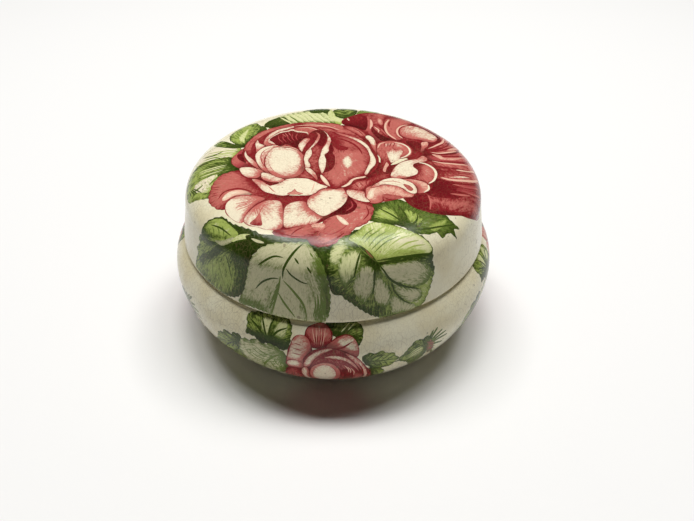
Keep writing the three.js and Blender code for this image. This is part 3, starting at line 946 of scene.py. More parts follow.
def rose_low_petals(art):
    """The first rose's small overlapping petals, low on its right."""
    art.petal(
        [(10, -20), (10.4, -17.4), (12.5, -15.9), (15, -15), (18.5, -15.3), (21, -16.8), (23, -18.9),
         (25.2, -20), (24.4, -21.7), (22, -22.1), (20, -23.1), (17.5, -23.2), (15.2, -22.2), (15, -24.2),
         (13, -25.5), (11, -25.2), (10.1, -23)],
        BLUSH, ROSE, root=(17, -24), reach=7, line=0.3, streak=1.6,
    )
    art.petal(
        [(10.3, -23.6), (10.7, -20), (12, -17.6), (13.6, -16.9), (12.6, -19.4), (12.2, -22.6)],
        CREAM, BLUSH, edge=0.6, soft=0.9,
    )
    art.petal(
        [(15, -22), (17.5, -23), (20, -23), (22, -22.2), (19, -21), (16, -20.6)],
        ROSE, CRIMSON, base=0.1,
    )
    art.petal(
        [(4.3, -18.6), (7, -18.8), (9.4, -19.6), (9.8, -22.5), (11, -24.8), (8.5, -24.6), (5.5, -22.8),
         (4.1, -20.6)],
        CREAM, ROSE, root=(9, -17.6), reach=7, depth=1.0, edge=0.3, soft=1.2, line=0.25,
    )
    art.petal(
        [(11.8, -17), (14, -14.4), (16.5, -12.2), (19.5, -11.3), (22.5, -12.1), (25, -13.8),
         (26.2, -16.5), (26.2, -19.2), (24.8, -19.9), (23.2, -18.8), (21.8, -17), (19, -15.5),
         (15.8, -15.2), (13.5, -16.6)],
        CREAM, ROSE, root=(12, -17.6), reach=6, depth=0.8, edge=0.3, soft=1.2, line=0.3,
    )
    art.petal(
        [(22.3, -14.7), (24, -15.3), (25.3, -17.5), (24.2, -18.6), (23, -16.9)],
        ROSE, CRIMSON, edge=0.5,
    )
    art.stroke([(15.4, -13.8), (19, -13.2), (22, -14.4)], 0.3, ROSE)


def rose_heart(art):
    """The first rose's crown of petals, and its dark heart."""
    art.petal(
        [(-31, 9), (-30, 14), (-27.4, 19.4), (-23.8, 23), (-19.4, 25.6), (-14, 27.6), (-8, 28.3),
         (-3, 27.6), (2, 26), (4, 23), (8, 18), (11.6, 11), (13, 3), (12.6, -4), (10, -10.5), (5, -14.8),
         (1.4, -17.4), (-3, -17), (-9, -14), (-16, -14), (-22, -12), (-26, -8), (-29, -2), (-31, 4)],
        ROSE, CRIMSON, root=(-13, 27), reach=3, edge=0.35, line=0.3, streak=1.9, ruffle=0.25,
    )
    art.wash([(-28, 4), (-27, 12), (-23.6, 18.6)], 2.0, 0.5)
    art.wash([(-29.8, 9), (-28, 16), (-24, 21.4), (-17, 25.4)], 1.6, -0.35)
    art.stroke([(-28.6, 5), (-28.2, 11.6), (-26, 16.6), (-22.6, 21), (-18.6, 23.8)], 0.8, CRIMSON)
    art.stroke([(-30.4, 8), (-29.2, 14), (-26.4, 18.8)], 0.3, DUSK)
    art.stroke([(-20, 24.4), (-14.6, 26.4), (-8, 26.9), (-2.6, 26)], 0.4, CRIMSON)
    art.stroke([(-22, 22.2), (-17.5, 24), (-12, 24.8), (-7, 23.6), (-3.6, 21)], 1.2, CRIMSON)
    art.stroke([(-13.4, 23.6), (-9.6, 24), (-6.6, 22.4), (-5.2, 19.4)], 0.5, BLUSH)
    art.stroke([(-14.6, 25.4), (-8, 26.2), (-2, 24.6), (2.2, 21.8)], 0.5, BLUSH)
    art.stroke([(-8.4, 24.4), (-4.6, 23.6), (-1.5, 23.2), (1.6, 21)], 0.9, CRIMSON)
    art.petal(
        [(-24.6, 11), (-24.6, 15), (-23.2, 19), (-20.6, 22.4), (-17.5, 24), (-15, 25.2), (-14.8, 24.2),
         (-17, 22.8), (-19.8, 20.8), (-21.8, 18), (-23.2, 15.4), (-23.3, 12.6), (-21.4, 10.4),
         (-22.4, 9.6)],
        CREAM, ROSE, root=(-22.6, 8), reach=12, depth=0.6, edge=0.5, soft=0.8, line=0.25,
    )
    art.petal(
        [(-27.2, 14.8, 1), (-26.2, 12), (-24.4, 10.4), (-25, 8.4), (-26.6, 5), (-27.2, 9), (-27.7, 12)],
        CREAM, ROSE, root=(-26, 4), reach=7, depth=0.6, edge=0.4, soft=0.9, line=0.2,
    )
    art.petal(
        [(-30.6, 6.8), (-29.8, 4), (-28, 1.5), (-26, -1.5), (-24, -4.5), (-22.8, -6.6), (-24.4, -6),
         (-27.2, -2.9), (-29.7, 1.3), (-30.7, 4.4)],
        CREAM, ROSE, root=(-23, -6), reach=9, depth=0.5, edge=0.35, soft=0.9, line=0.25,
    )
    art.petal(
        [(-23.4, 13.2), (-22.6, 16.6), (-20.8, 19), (-19.2, 20.9), (-16.8, 21.6), (-15.2, 22.8),
         (-13.6, 21.4), (-11.6, 20.8), (-9.6, 20), (-9.4, 17), (-10.4, 14.6), (-12, 13), (-12.3, 10.8),
         (-13, 8.2), (-15, 9.8), (-17, 10.7), (-18.5, 9.5), (-19.3, 7.6), (-19.9, 9.4), (-21.4, 11)],
        CREAM, ROSE, edge=0.4, shadow=0.3,
    )
    art.petal(
        [(-22.9, 14.3), (-22.4, 16.2), (-20.9, 18.2), (-19.6, 19.6), (-18.2, 20.4), (-16.6, 20.8),
         (-15.2, 21.6), (-13.6, 20.4), (-11.6, 19.9), (-9.7, 19.2), (-9.4, 17), (-10.4, 14.6), (-12, 13),
         (-12.3, 10.8), (-13, 8.2), (-15, 9.8), (-17, 10.7), (-18.5, 9.5), (-19.3, 7.6), (-19.9, 9.4),
         (-21.1, 12)],
        CRIMSON, DEEP, root=(-15, 13), reach=9, base=0.1, streak=1.8,
    )
    art.hatch([(-20.6, 17.6), (-12.6, 19.4)], [(-18.4, 12), (-12.4, 14)], 5, 0.35, DUSK, bow=-0.1)
    art.hatch([(-19.4, 19), (-16, 20.6)], [(-17.6, 16.4), (-15, 17.6)], 3, 0.3, ROSE)


def rose_bulb(art):
    """The first rose's pale bulb of furled petals, in front of its heart."""
    art.petal(
        [(-19.8, 10.2), (-22.5, 9.9), (-25, 8.4), (-26.7, 5), (-26.6, 1.5), (-25.4, -2.5), (-23.4, -6.4),
         (-20.6, -9.4), (-17, -11.4), (-14, -8), (-17, 0), (-18, 7)],
        CREAM, ROSE, root=(-19.4, -11.4), reach=7, depth=0.9, edge=0.3, soft=1.2, line=0.3,
    )
    art.wash([(-24, 6.4), (-24.4, 1), (-22.4, -5)], 1.2, 0.3)
    art.stroke(
        [(-20.6, 9.2), (-23.4, 7.6), (-24.9, 4.2), (-24.4, -0.5), (-22.6, -4.8), (-19.8, -8.6)],
        0.3, DUSK,
    )
    art.stroke([(-19.4, 9.4), (-16.4, 9.2), (-13.4, 7.6), (-11.2, 4.6)], 0.35, BLUSH)
    art.petal(
        [(-21, 8.4), (-17.4, 8.6), (-13.8, 7.4), (-11, 4.2), (-9.7, 0), (-9.6, -4), (-10.4, -8.4),
         (-13.2, -11.4), (-17, -11.6), (-20.4, -8.8), (-22.8, -3.6), (-23, 3)],
        CREAM, ROSE, root=(-9, -8), reach=15, depth=1.0, base=0.12, edge=0.35, soft=1.4, line=0.3,
    )
    art.petal(
        [(-20, 7.3), (-17.6, 7.3), (-14.6, 6.4), (-12.2, 4), (-11, 0.9), (-10.9, -3), (-11.6, -7),
         (-13.5, -10), (-16, -10.2), (-18.8, -8.2), (-21, -4.5), (-22.2, 0), (-21.8, 4), (-21.1, 6.2)],
        CREAM, ROSE, root=(-10.4, -9.6), depth=0.7, edge=0.35, soft=1.1, streak=0.9, line=0.1, ink=DUSK,
        shadow=0.2,
    )
    art.wash([(-11.6, 2), (-11.4, -5)], 1.8, 0.25)
    art.wash([(-18, -7.6), (-14.6, -9.2)], 2.2, 0.3)
    art.wash([(-21.4, 3), (-20.8, -3)], 1.2, 0.2)


def rose_furled_petals(art):
    """The first rose's upright furled petals."""
    art.petal(
        [(-8, 20.5), (-6, 22), (-3.6, 21), (-1.5, 17.5), (-0.4, 12), (0.4, 6), (0.4, 0), (-0.4, -6),
         (-2.4, -9.6), (-5, -12.6), (-7.8, -9), (-10, -4), (-10.4, 2), (-9.6, 7), (-10.5, 12), (-9.6, 17)],
        ROSE, CRIMSON, root=(-3, 20), reach=14, base=0.1, streak=1.7,
    )
    art.stroke([(-8.6, 19), (-7.8, 15.4), (-8.4, 11.6)], 0.35, CRIMSON)
    art.petal(
        [(-5.1, 21), (-3.5, 18.5), (-2.9, 15.5), (-3.1, 12), (-4, 9.3), (-5.6, 10), (-6, 12.5), (-5.1, 16),
         (-5.4, 18.8)],
        CRIMSON, DEEP, base=0.3, streak=1.6,
    )
    art.petal(
        [(-1.1, 16), (-0.6, 12), (0.5, 8.4), (-0.4, 5), (0.3, 2), (0.4, -2), (0, -5.6), (-1.6, -8),
         (-3.4, -10.4), (-4.1, -9.8), (-3.2, -7), (-2.7, -3.5), (-2.8, 0), (-3.2, 3.2), (-1.7, 5.5),
         (-1.8, 8), (-1.3, 11.5)],
        CRIMSON, DEEP, base=0.3, streak=1.6,
    )
    art.petal(
        [(-10.3, 15.2), (-11.7, 12.5), (-12.4, 10), (-12, 7.6), (-11, 5.2, 1), (-10.4, 8), (-9.8, 10.5),
         (-8.8, 13.3), (-8.4, 14.8)],
        CREAM, ROSE, root=(-8.6, 16), depth=0.8, edge=0.5, soft=0.9, line=0.25,
    )
    art.petal(
        [(-6.4, 20, 1), (-5.7, 17.5), (-6.3, 14), (-7.3, 10.5), (-8.6, 7.4), (-9.4, 5.6), (-9.9, 3),
         (-10.1, 0), (-9.6, -3.5), (-9.3, -5.8), (-7.9, -5), (-8, -3), (-8.7, -0.6), (-7.6, 3),
         (-7.7, 6), (-8, 7.6), (-6.8, 9.8), (-5.3, 14), (-5, 18)],
        CREAM, ROSE, root=(-6.4, 18), reach=9, depth=0.8, edge=0.4, soft=0.8, line=0.28,
    )
    art.petal(
        [(-9.4, -5.6), (-8.8, -7.6), (-7, -10.2), (-5.4, -13.2, 1), (-5.4, -11.4), (-6.4, -8.2),
         (-8, -5.8)],
        CREAM, ROSE, root=(-5.4, -13), reach=5, depth=0.5, line=0.25,
    )
    art.petal(
        [(-3.8, 21.2, 1), (-2.6, 18.5), (-2.2, 15), (-2.8, 11), (-3.8, 8), (-4.3, 5), (-4.7, 2), (-5.1, -1),
         (-4.9, -4.5), (-3.9, -9.6, 1), (-3, -6), (-2.7, -3), (-2.7, 0), (-3.2, 3), (-1.8, 5.5), (-1.8, 8),
         (-1.3, 11), (-0.8, 14.5), (-1.5, 16), (-2.5, 19)],
        CREAM, ROSE, root=(-2.4, 12), reach=5, depth=0.5, edge=0.4, soft=0.8, line=0.28,
    )


def rose_cup(art):
    """The first rose's large cupped petal."""
    art.petal(
        [(-3.2, 21.6), (0.5, 20), (4, 18), (8, 14.8), (11, 10.5), (12.7, 5), (13.2, 0), (12, -5),
         (10.2, -9.6), (7, -11.4), (4, -14.5), (1.2, -17.1), (-1.2, -17), (-2.6, -13.5), (-4.2, -9.6),
         (-1, -7), (0.6, -2), (0.5, 4), (-0.6, 10), (-1.4, 16)],
        ROSE, CRIMSON, root=(-2.4, 14), reach=9, depth=1.1, edge=0.35, streak=1.4, rays=16,
    )
    art.wash([(0.4, 13), (3, 9.4), (6.6, 7)], 3.4, 0.6)
    art.wash([(6, 11), (10, 5), (10.6, -2)], 1.8, 0.35)
    art.wash([(5.2, 3), (5.6, -3), (4.4, -9)], 2.6, -0.35)
    art.stroke([(-1.4, 16.6), (3, 14.3), (6.5, 11.3), (8.8, 7.4), (9.8, 3.4)], 0.9, CRIMSON)
    art.stroke([(-0.4, 18.2), (4, 15.9), (8, 12.2), (10.6, 7.4), (11.4, 2), (11, -3)], 0.35, DUSK)
    art.petal(
        [(-0.8, 12.6), (2.4, 9.8), (5, 8.2), (4.4, 6.4), (1.8, 6.4), (0.2, 8.6)],
        ROSE, CRIMSON, base=0.9, streak=1.8,
    )
    art.hatch([(0.8, 9.6), (4.6, 8.4)], [(1, 4.4), (3.8, 4.6)], 4, 0.3, CRIMSON)
    art.petal(
        [(4.7, 3), (5.8, 1.2), (6.4, -1.4), (6.1, -4), (4.9, -6.2), (4, -9.4, 1), (3.8, -6), (3, -3.6),
         (2.5, -1), (3.4, 1.2)],
        CREAM, ROSE, base=-0.1, edge=1.1, soft=1.5,
    )
    art.petal(
        [(0.3, 20.2, 1), (4.4, 18), (8.4, 15), (11.6, 10.6), (13.2, 4.8), (14.2, 0), (13.8, -3.2),
         (12.2, -6.2), (10.8, -9.6), (10, -9), (11, -5.6), (12.2, -1), (12.3, 3), (11.3, 8), (8.8, 12.4),
         (5.4, 15.7), (2, 18)],
        CREAM, ROSE, root=(1, 19), reach=10, depth=1.0, edge=0.5, soft=0.8, line=0.25,
    )
    art.petal(
        [(10.2, -10.6), (7.2, -11.4), (5.4, -12.9), (4.2, -15), (2.2, -17, 1), (3.6, -16.8), (5.2, -15.4),
         (6.7, -12.7), (9.9, -11.4)],
        CREAM, BLUSH, line=0.25, edge=0.8, soft=0.8,
    )
    art.petal(
        [(-4.3, -9.8), (-3.4, -10.8), (-2, -13.6), (-1.2, -16.6, 1), (-2.6, -15.4), (-4.2, -12)],
        CREAM, BLUSH, line=0.25, edge=0.8, soft=0.8,
    )


def rose_lips(art):
    """The first rose's pale lips, below the bulb."""
    art.petal(
        [(-31.2, -4.6), (-28, -4.3), (-25.4, -5.5), (-23.2, -7.2), (-23.9, -9.5), (-25, -11),
         (-27.5, -10.7), (-30, -8.4)],
        CREAM, ROSE, root=(-22.6, -8.6), depth=0.9, edge=0.35, soft=1.2, line=0.28,
    )
    art.petal(
        [(-23.6, -8), (-21, -8.9), (-18.5, -10.9), (-16, -12.5), (-17.4, -13.8), (-20.5, -13.5),
         (-23.2, -11.6)],
        CREAM, ROSE, root=(-22, -13.8), reach=5.4, depth=0.9, edge=0.35, soft=1.2, line=0.28,
    )
    art.petal(
        [(-26.4, -11.8), (-23.7, -12.6), (-21.4, -15), (-20.4, -15.9, 1), (-17.3, -14.5), (-15.5, -12.5),
         (-13, -11.8), (-9, -12), (-6.4, -13.6), (-4.5, -15.3), (-2, -16.8), (-4.4, -18.2), (-6, -20.4),
         (-7.8, -21.4), (-10, -21.3), (-12.6, -20.6), (-16, -21.4), (-19, -20.4), (-22, -18.8),
         (-24.2, -15.5)],
        CREAM, ROSE, root=(-23.5, -12.6), reach=5, depth=0.9, edge=0.3, soft=1.4, line=0.32,
    )
    art.wash([(-15, -12.8), (-17.6, -15.4)], 1.6, 0.35)
    art.petal(
        [(-12.4, -17.9, 1), (-11.6, -19.4), (-9.6, -20.6), (-12.4, -20.9), (-14.6, -20.6), (-13.2, -19.4)],
        BLUSH, ROSE, base=0.3, line=0.12, shadow=0,
    )
    art.stroke([(-21, -15.8), (-19.6, -18), (-18.4, -19.6)], 0.3, ROSE)
    art.stroke([(-6.2, -14.6), (-6.6, -17.4), (-7.2, -19.8)], 0.3, BLUSH)


# The big pink rose on the crown, from its outermost petals in to its heart and out over it.
FIRST_ROSE = (rose_outer_petals, rose_turned_petals, rose_right_petals, rose_curled_petals,
              rose_low_petals, rose_heart, rose_bulb, rose_furled_petals, rose_cup, rose_lips)

# Front leaves repeated over the back of the skirt: each with the way it faces as drawn and how far it is
# turned, in degrees, and how far it is pushed out towards the rim.
BACK_LEAVES = ((fan_leaf, -72, 127, 7), (folded_leaf, -133, -97, 4), (pale_leaf, -108, 200, 5))


def paint_lid():
    """Everything painted on the lid."""
    art = Painting()
    for leaf, faces, turn, push in BACK_LEAVES:
        way = math.radians(faces + turn)
        art.put(turn, at=(push * math.cos(way), push * math.sin(way)))
        leaf(art)
    art.put()
    drawn = (far_leaves, left_leaves, folded_leaf, glimpsed_leaves, pale_leaf, fan_leaf, pointed_leaf)
    for draw in drawn + SECOND_ROSE + FIRST_ROSE:
        draw(art)
    return art


# ---- The bowl's flowers. x runs round the widest part of the wall and y is minus the way down it. ----

SPRIG_COUNT = 4  # the same sprig, evenly spaced round the wall
SEAM = -138.2  # x of the strip's left-hand end, between two sprigs


def sprig_leaves(art):
    """The leaves to the left of a sprig's rose."""
    art.petal(
        [(-46, -26), (-42.6, -20), (-40.4, -15.4), (-38.4, -14.4), (-37, -12.4), (-34.6, -12.8),
         (-33, -11.4), (-30.4, -11.8), (-30, -15), (-31, -19), (-31, -25), (-35, -30), (-41, -30)],
        LEAF_LIGHT, LEAF_DARK, root=(-31, -14), reach=10, depth=0.7, base=0.4, edge=0.35, soft=1.4,
        streak=2.6, teeth=0.6, shadow=0.3,
    )
    art.stroke([(-31, -14.4), (-35.4, -17.6), (-40.6, -24)], 0.6, LEAF_DARK)
    art.hatch([(-32.6, -15.4), (-37.6, -20)], [(-37.4, -14), (-42.4, -20)], 3, 0.4, LEAF_DARK)
    art.hatch([(-33, -16.4), (-38, -22)], [(-33, -22), (-37, -28)], 3, 0.4, LEAF)
    art.petal(
        [(-29.4, -3.4), (-26.6, -1.8), (-22, -1), (-16.4, -1.2), (-13.8, -3.4), (-13.6, -8),
         (-14.6, -11.6), (-18, -11.9), (-20.4, -10.8), (-23.4, -11.4), (-25.6, -9.8), (-28.6, -9.4),
         (-28.6, -6.6)],
        LEAF_LIGHT, LEAF_DARK, root=(-20.6, -10.4), reach=7, depth=0.8, base=0.45, edge=0.35, soft=1.3,
        streak=2.4, teeth=0.55, shadow=0.3,
    )
    art.wash([(-28, -9), (-22, -10), (-15.6, -10.6)], 3.0, 0.8)
    art.petal(
        [(-24, -3.4), (-21, -2.4), (-20.2, -5), (-21.4, -8.4), (-23.2, -6.4)],
        LEAF_PALE, LEAF, root=(-20.8, -9.6), reach=4, edge=0.6, soft=1, streak=2.0,
    )
    art.petal(
        [(-19.4, -6.8), (-17.8, -3), (-15.6, -2.4), (-15, -5.6), (-16.6, -8)],
        LEAF_PALE, LEAF, root=(-19.6, -9), reach=4, edge=0.6, soft=1, streak=2.0,
    )
    for tip in ((-28, -4.6), (-24.4, -2.4), (-19.8, -1.8), (-14.8, -4.2)):
        art.stroke(
            [(-20.6, -10), ((tip[0] - 20.6) / 2 - 0.4, tip[1] / 2 - 4), tip],
            0.6, LEAF_DARK, tone=0.5,
        )
    art.petal(
        [(-31.4, -15), (-29.6, -12.2), (-27, -12), (-25, -10.6), (-22.4, -11.6), (-20, -10.8),
         (-17.5, -11.6), (-15, -14), (-14.6, -19), (-16.4, -25), (-21, -30), (-26, -31), (-30, -26),
         (-32, -20)],
        LEAF_GREY, LEAF, root=(-16, -13.4), depth=0.6, base=0.3, edge=0.5, soft=1.8, streak=2.6,
        teeth=0.6, shadow=0.3, line=0.2, ink=LEAF_DARK,
    )
    art.wash([(-17, -18), (-18.4, -25)], 3.0, 0.4)
    art.wash([(-26, -18), (-26, -24)], 3.0, -0.2)
    art.stroke([(-16, -13.6), (-20.4, -17.6), (-23.6, -23), (-25.4, -29)], 0.7, LEAF)
    art.hatch([(-18, -15), (-23.6, -21.6)], [(-24.6, -12.6), (-30, -19.4)], 4, 0.45, LEAF, bow=0.15)
    art.hatch([(-18.6, -16), (-23.4, -22.4)], [(-16.6, -21), (-20.6, -28.4)], 3, 0.45, LEAF, bow=-0.1)


def sprig_right_leaves(art):
    """The leaves behind a sprig's rose and to its right."""
    art.petal(
        [(-3, -2), (-1, -0.8), (3, -1.2), (6.4, -1), (9, -3), (8.8, -6.4), (7.2, -9), (3, -7), (0, -5.6)],
        LEAF_LIGHT, LEAF_DARK, root=(-1, -6), reach=7, depth=0.6, base=0.45, edge=0.5, soft=1.4,
        streak=2.4, teeth=0.3,
    )
    art.stroke([(-0.4, -5.6), (3, -4), (8, -3)], 0.5, LEAF_DARK, tone=0.6)
    art.hatch([(1, -4.6), (5.4, -3.6)], [(4, -1.4), (8, -1.8)], 2, 0.4, LEAF_PALE)
    art.petal(
        [(8.4, -14), (10.6, -12.2), (12.8, -12.8), (14.6, -12), (16.4, -13.6), (18.6, -14), (19.6, -16),
         (21, -17.8), (19.6, -19.4), (18.6, -21.2), (16, -21.6), (13, -20.6), (10, -18)],
        LEAF_LIGHT, LEAF_DARK, root=(9, -16), reach=7, depth=0.6, base=0.35, edge=0.4, soft=1.4,
        streak=2.4, teeth=0.3, shadow=0.3,
    )
    art.stroke([(9, -15.6), (14, -16.8), (20.6, -18)], 0.55, LEAF_DARK, tone=0.5)
    art.hatch([(10.4, -15.8), (17, -17.2)], [(13.4, -13), (19.6, -15.6)], 4, 0.4, LEAF_DARK)
    art.hatch([(11, -16.4), (17, -17.6)], [(13, -19.6), (18, -20.6)], 3, 0.4, LEAF_DARK)
    art.petal(
        [(11, -20), (14, -20.6), (16.6, -24), (17.4, -29), (16, -33), (13, -30), (11.6, -25)],
        LEAF_LIGHT, LEAF_DARK, root=(11.6, -20), reach=9, depth=0.6, base=0.2, edge=0.4, soft=1.4,
        streak=2.2, teeth=0.3, shadow=0.3,
    )
    art.stroke([(12, -21), (14.6, -25.6), (15.8, -31.6)], 0.5, LEAF_DARK)
    art.stroke([(19, -19.6), (22, -19.4), (24.6, -17.6)], 0.9, LEAF_DARK)


def sprig_rose_back(art):
    """The raised petals at the back and left of a sprig's rose."""
    art.petal(
        [(-9, -5.4), (-8, -3), (-5, -1.6), (-2.4, -2.4), (-1, -5), (-1.4, -8), (-4.4, -9.8), (-7.8, -8.6)],
        ROSE, CRIMSON, root=(-4.6, -10.4), reach=5, depth=0.8, base=-0.15, edge=0.4, soft=1.2, line=0.3,
        streak=2.0,
    )
    art.petal(
        [(-2.4, -9), (0.6, -6.4), (4, -5.4), (6.8, -7.6), (7.2, -12.6), (4.4, -12.8), (0.6, -11.4)],
        CREAM, ROSE, root=(-2, -10), reach=7, depth=1.0, base=0.45, edge=0.4, soft=1.2, line=0.3,
        streak=2.0,
    )
    art.wash([(2.4, -7.6), (5.4, -9.4)], 1.8, -0.9)
    art.hatch([(-7.6, -3.6), (-2.2, -3)], [(-6.4, -8), (-3, -8.6)], 4, 0.2, BLUSH)
    art.hatch([(-6.6, -5.4), (-2.8, -5)], [(-6.2, -8.4), (-3.4, -8.8)], 4, 0.3, CRIMSON)
    art.stroke([(-1.6, -9.6), (2, -9.4), (5.6, -7.4)], 0.6, CRIMSON)
    art.petal(
        [(-14.8, -16), (-13.8, -11.6), (-12.8, -7.6), (-11, -5.8), (-8.4, -6.4), (-7.2, -9),
         (-7.6, -12.6), (-8.8, -15), (-9.4, -19), (-11.8, -20.2), (-14.4, -19)],
        CREAM, ROSE, root=(-6.4, -8), depth=0.7, base=0.15, edge=0.5, soft=1.2, line=0.35, streak=0.9,
    )
    art.petal(
        [(-14.8, -17), (-12.6, -15.6), (-10, -16.6), (-9.6, -19.4), (-11.8, -20.4), (-14.4, -19.4)],
        CREAM, ROSE, edge=0.6, soft=1.2, line=0.3,
    )
    art.hatch([(-12.4, -8), (-13, -13)], [(-10, -8.4), (-10, -13.4)], 3, 0.3, DUSK)


def sprig_rose_bowl(art):
    """The round body of a sprig's rose, with the pale rims of the petals wrapped about it."""
    art.petal(
        [(-16, -24), (-14, -20), (-10, -19.4), (-9, -14), (-6, -10.4), (-2, -9.4), (3, -11), (7, -14),
         (10, -19), (12, -25), (12.6, -31), (9, -36), (2, -38.4), (-6, -38.4), (-13, -35), (-17, -30)],
        ROSE, CRIMSON, root=(4, -22), reach=10, depth=0.5, base=0.1, edge=0.35, line=0.35, streak=2.2,
    )
    art.petal(
        [(-16.6, -26), (-14, -21), (-11.4, -20.6), (-10.2, -24), (-10.8, -29), (-12.6, -33.4),
         (-15.8, -31)],
        ROSE, CRIMSON, root=(-10.6, -20), reach=9, depth=0.7, base=-0.1, line=0.35, streak=2.0,
    )
    art.hatch([(-14.6, -23), (-11.4, -23)], [(-15.4, -29), (-12, -29)], 3, 0.35, CRIMSON)
    rims = (
        [(-9.6, -18), (-8.6, -14.4), (-6, -11.2), (-2.4, -9.6), (-0.6, -9.8), (-3.4, -11.4), (-6, -13.8),
         (-8, -18)],
        [(-10.6, -24), (-10.2, -20), (-8.8, -18.6), (-8.2, -21), (-8.4, -26), (-6.6, -33), (-9.4, -31)],
        [(3.4, -11.4), (7, -14), (9.4, -18.6), (10.8, -24), (11.2, -31), (9.8, -25), (8, -19.4),
         (5.4, -14.6)],
        [(-3.4, -13), (0, -12.2), (3.8, -13.6), (6.4, -17), (8, -22), (6.6, -18.8), (3.6, -15), (0, -13.6)],
    )
    for points in rims:
        art.petal(points, CREAM, ROSE, base=0.1, edge=0.7, soft=0.9, line=0.3, streak=1.6)
    for line in (
        [(-7, -17.4), (-4.6, -13.8), (-1, -12), (3, -12.6), (6, -15.4)],
        [(0.4, -15.4), (3.6, -17), (5.6, -21), (6.2, -27)],
        [(2.6, -18), (4, -22), (4, -28)],
        [(7.4, -16.4), (9, -21), (9.6, -28)],
    ):
        art.stroke(line, 0.6, CRIMSON)
    art.hatch([(1.6, -20), (2.2, -28)], [(5.8, -19.6), (7.6, -26.4)], 6, 0.4, CRIMSON)


def sprig_rose_heart(art):
    """The dark heart of a sprig's rose, and the pale bulb beside it."""
    art.petal(
        [(2.4, -20), (4, -18.8), (5, -20.8), (6.2, -23.6), (6, -27), (4.6, -29.6), (2.8, -28), (3.2, -24)],
        CRIMSON, DEEP, base=0.1, streak=2.2,
    )
    art.hatch([(2.6, -16.6), (5.6, -19)], [(4, -20.6), (6.6, -25)], 3, 0.3, BLUSH, bow=0.1)
    art.stroke([(9.2, -20), (10.4, -25), (10.2, -31)], 0.7, BLUSH)
    art.petal(
        [(-7.8, -22), (-6.6, -17.8), (-3.2, -15.6), (0, -16.8), (1.8, -21), (1.4, -27), (-1, -33),
         (-5, -32.4), (-7.6, -28)],
        BLUSH, ROSE, root=(2, -24), reach=7, depth=0.7, edge=0.5, soft=1.2, line=0.35,
    )
    art.petal(
        [(-6.8, -22), (-5.6, -18.4), (-3, -16.8), (-0.8, -18), (0.4, -21.6), (0, -26.6), (-1.8, -31),
         (-4.8, -31), (-6.6, -27)],
        CREAM, ROSE, base=0.08, edge=0.35, soft=1.6, streak=1.4, line=0.12, ink=DUSK,
    )
    art.petal(
        [(-5, -33.4), (0, -33.8), (4, -32.4), (2.6, -36.2), (-3, -37)],
        CREAM, ROSE, edge=0.4, line=0.3,
    )


def sprig_bud(art):
    """The bud at a sprig's right-hand end, with its spiky sepals."""
    tips = ((34.8, -10.6), (37, -12.6), (39, -14.4), (40, -16.8), (38.8, -20), (36.8, -26.4), (33, -10.8))
    for tip in tips:
        art.stroke(
            [(29.4, -17), ((30 + tip[0]) / 2, (-16 + tip[1]) / 2), tip],
            1.0, LEAF, blunt=True, tone=0.4,
        )
        art.stroke([(31, -17), ((30.6 + tip[0]) / 2, (-16.6 + tip[1]) / 2), tip], 0.4, LEAF_DARK)
    art.petal(
        [(20.8, -19), (22.6, -16), (24.4, -13.8), (26.4, -12), (29, -12.6), (31, -12), (32.6, -14.4),
         (32, -18), (31.6, -23), (29.4, -28), (26.6, -27), (24.6, -23)],
        LEAF_LIGHT, LEAF_DARK, root=(31, -18), reach=9, depth=0.5, base=0.5, soft=1.6, streak=2.6,
        teeth=0.5, shadow=0.3,
    )
    art.petal(
        [(24.4, -18.6), (26, -16.4), (28.6, -16), (29.8, -18.4), (28, -20.8), (25, -20.6)],
        LEAF_PALE, LEAF_LIGHT, edge=0.8, soft=1.4, streak=2.2,
    )
    art.hatch([(22.6, -17.6), (24.6, -22.6)], [(29, -13.4), (31, -21)], 6, 0.4, LEAF_DARK, bow=0.12)
    art.petal(
        [(30.8, -14.8), (32.4, -14.4), (33.6, -17), (34.6, -19.6), (34.4, -22.6), (33, -23),
         (31.6, -19.6)],
        ROSE, LEAF_DARK, base=0.45, edge=0.3, streak=2.8,
    )
    art.hatch([(30.6, -13.8), (32, -22)], [(34.4, -15.4), (36.2, -22.6)], 5, 0.45, LEAF, bow=0.1)
    art.hatch([(31.4, -15.4), (32.2, -21)], [(34.4, -16.8), (35.6, -21.8)], 4, 0.35, DUSK)


def bowl_sprig(art):
    """One sprig: a small rose between leaves, with a bud at its right-hand end."""
    sprig_leaves(art)
    sprig_right_leaves(art)
    sprig_rose_back(art)
    sprig_rose_bowl(art)
    sprig_rose_heart(art)
    sprig_bud(art)


def paint_bowl():
    """The sprig, repeated evenly round the bowl."""
    art = Painting()
    spacing = TURN * BULGE_RADIUS / SPRIG_COUNT
    for i in range(SPRIG_COUNT):
        art.put(at=(spacing * (i - 1), 0))
        bowl_sprig(art)
    return art


# ---- Walls: a turned section that can be looked up by distance along it ----


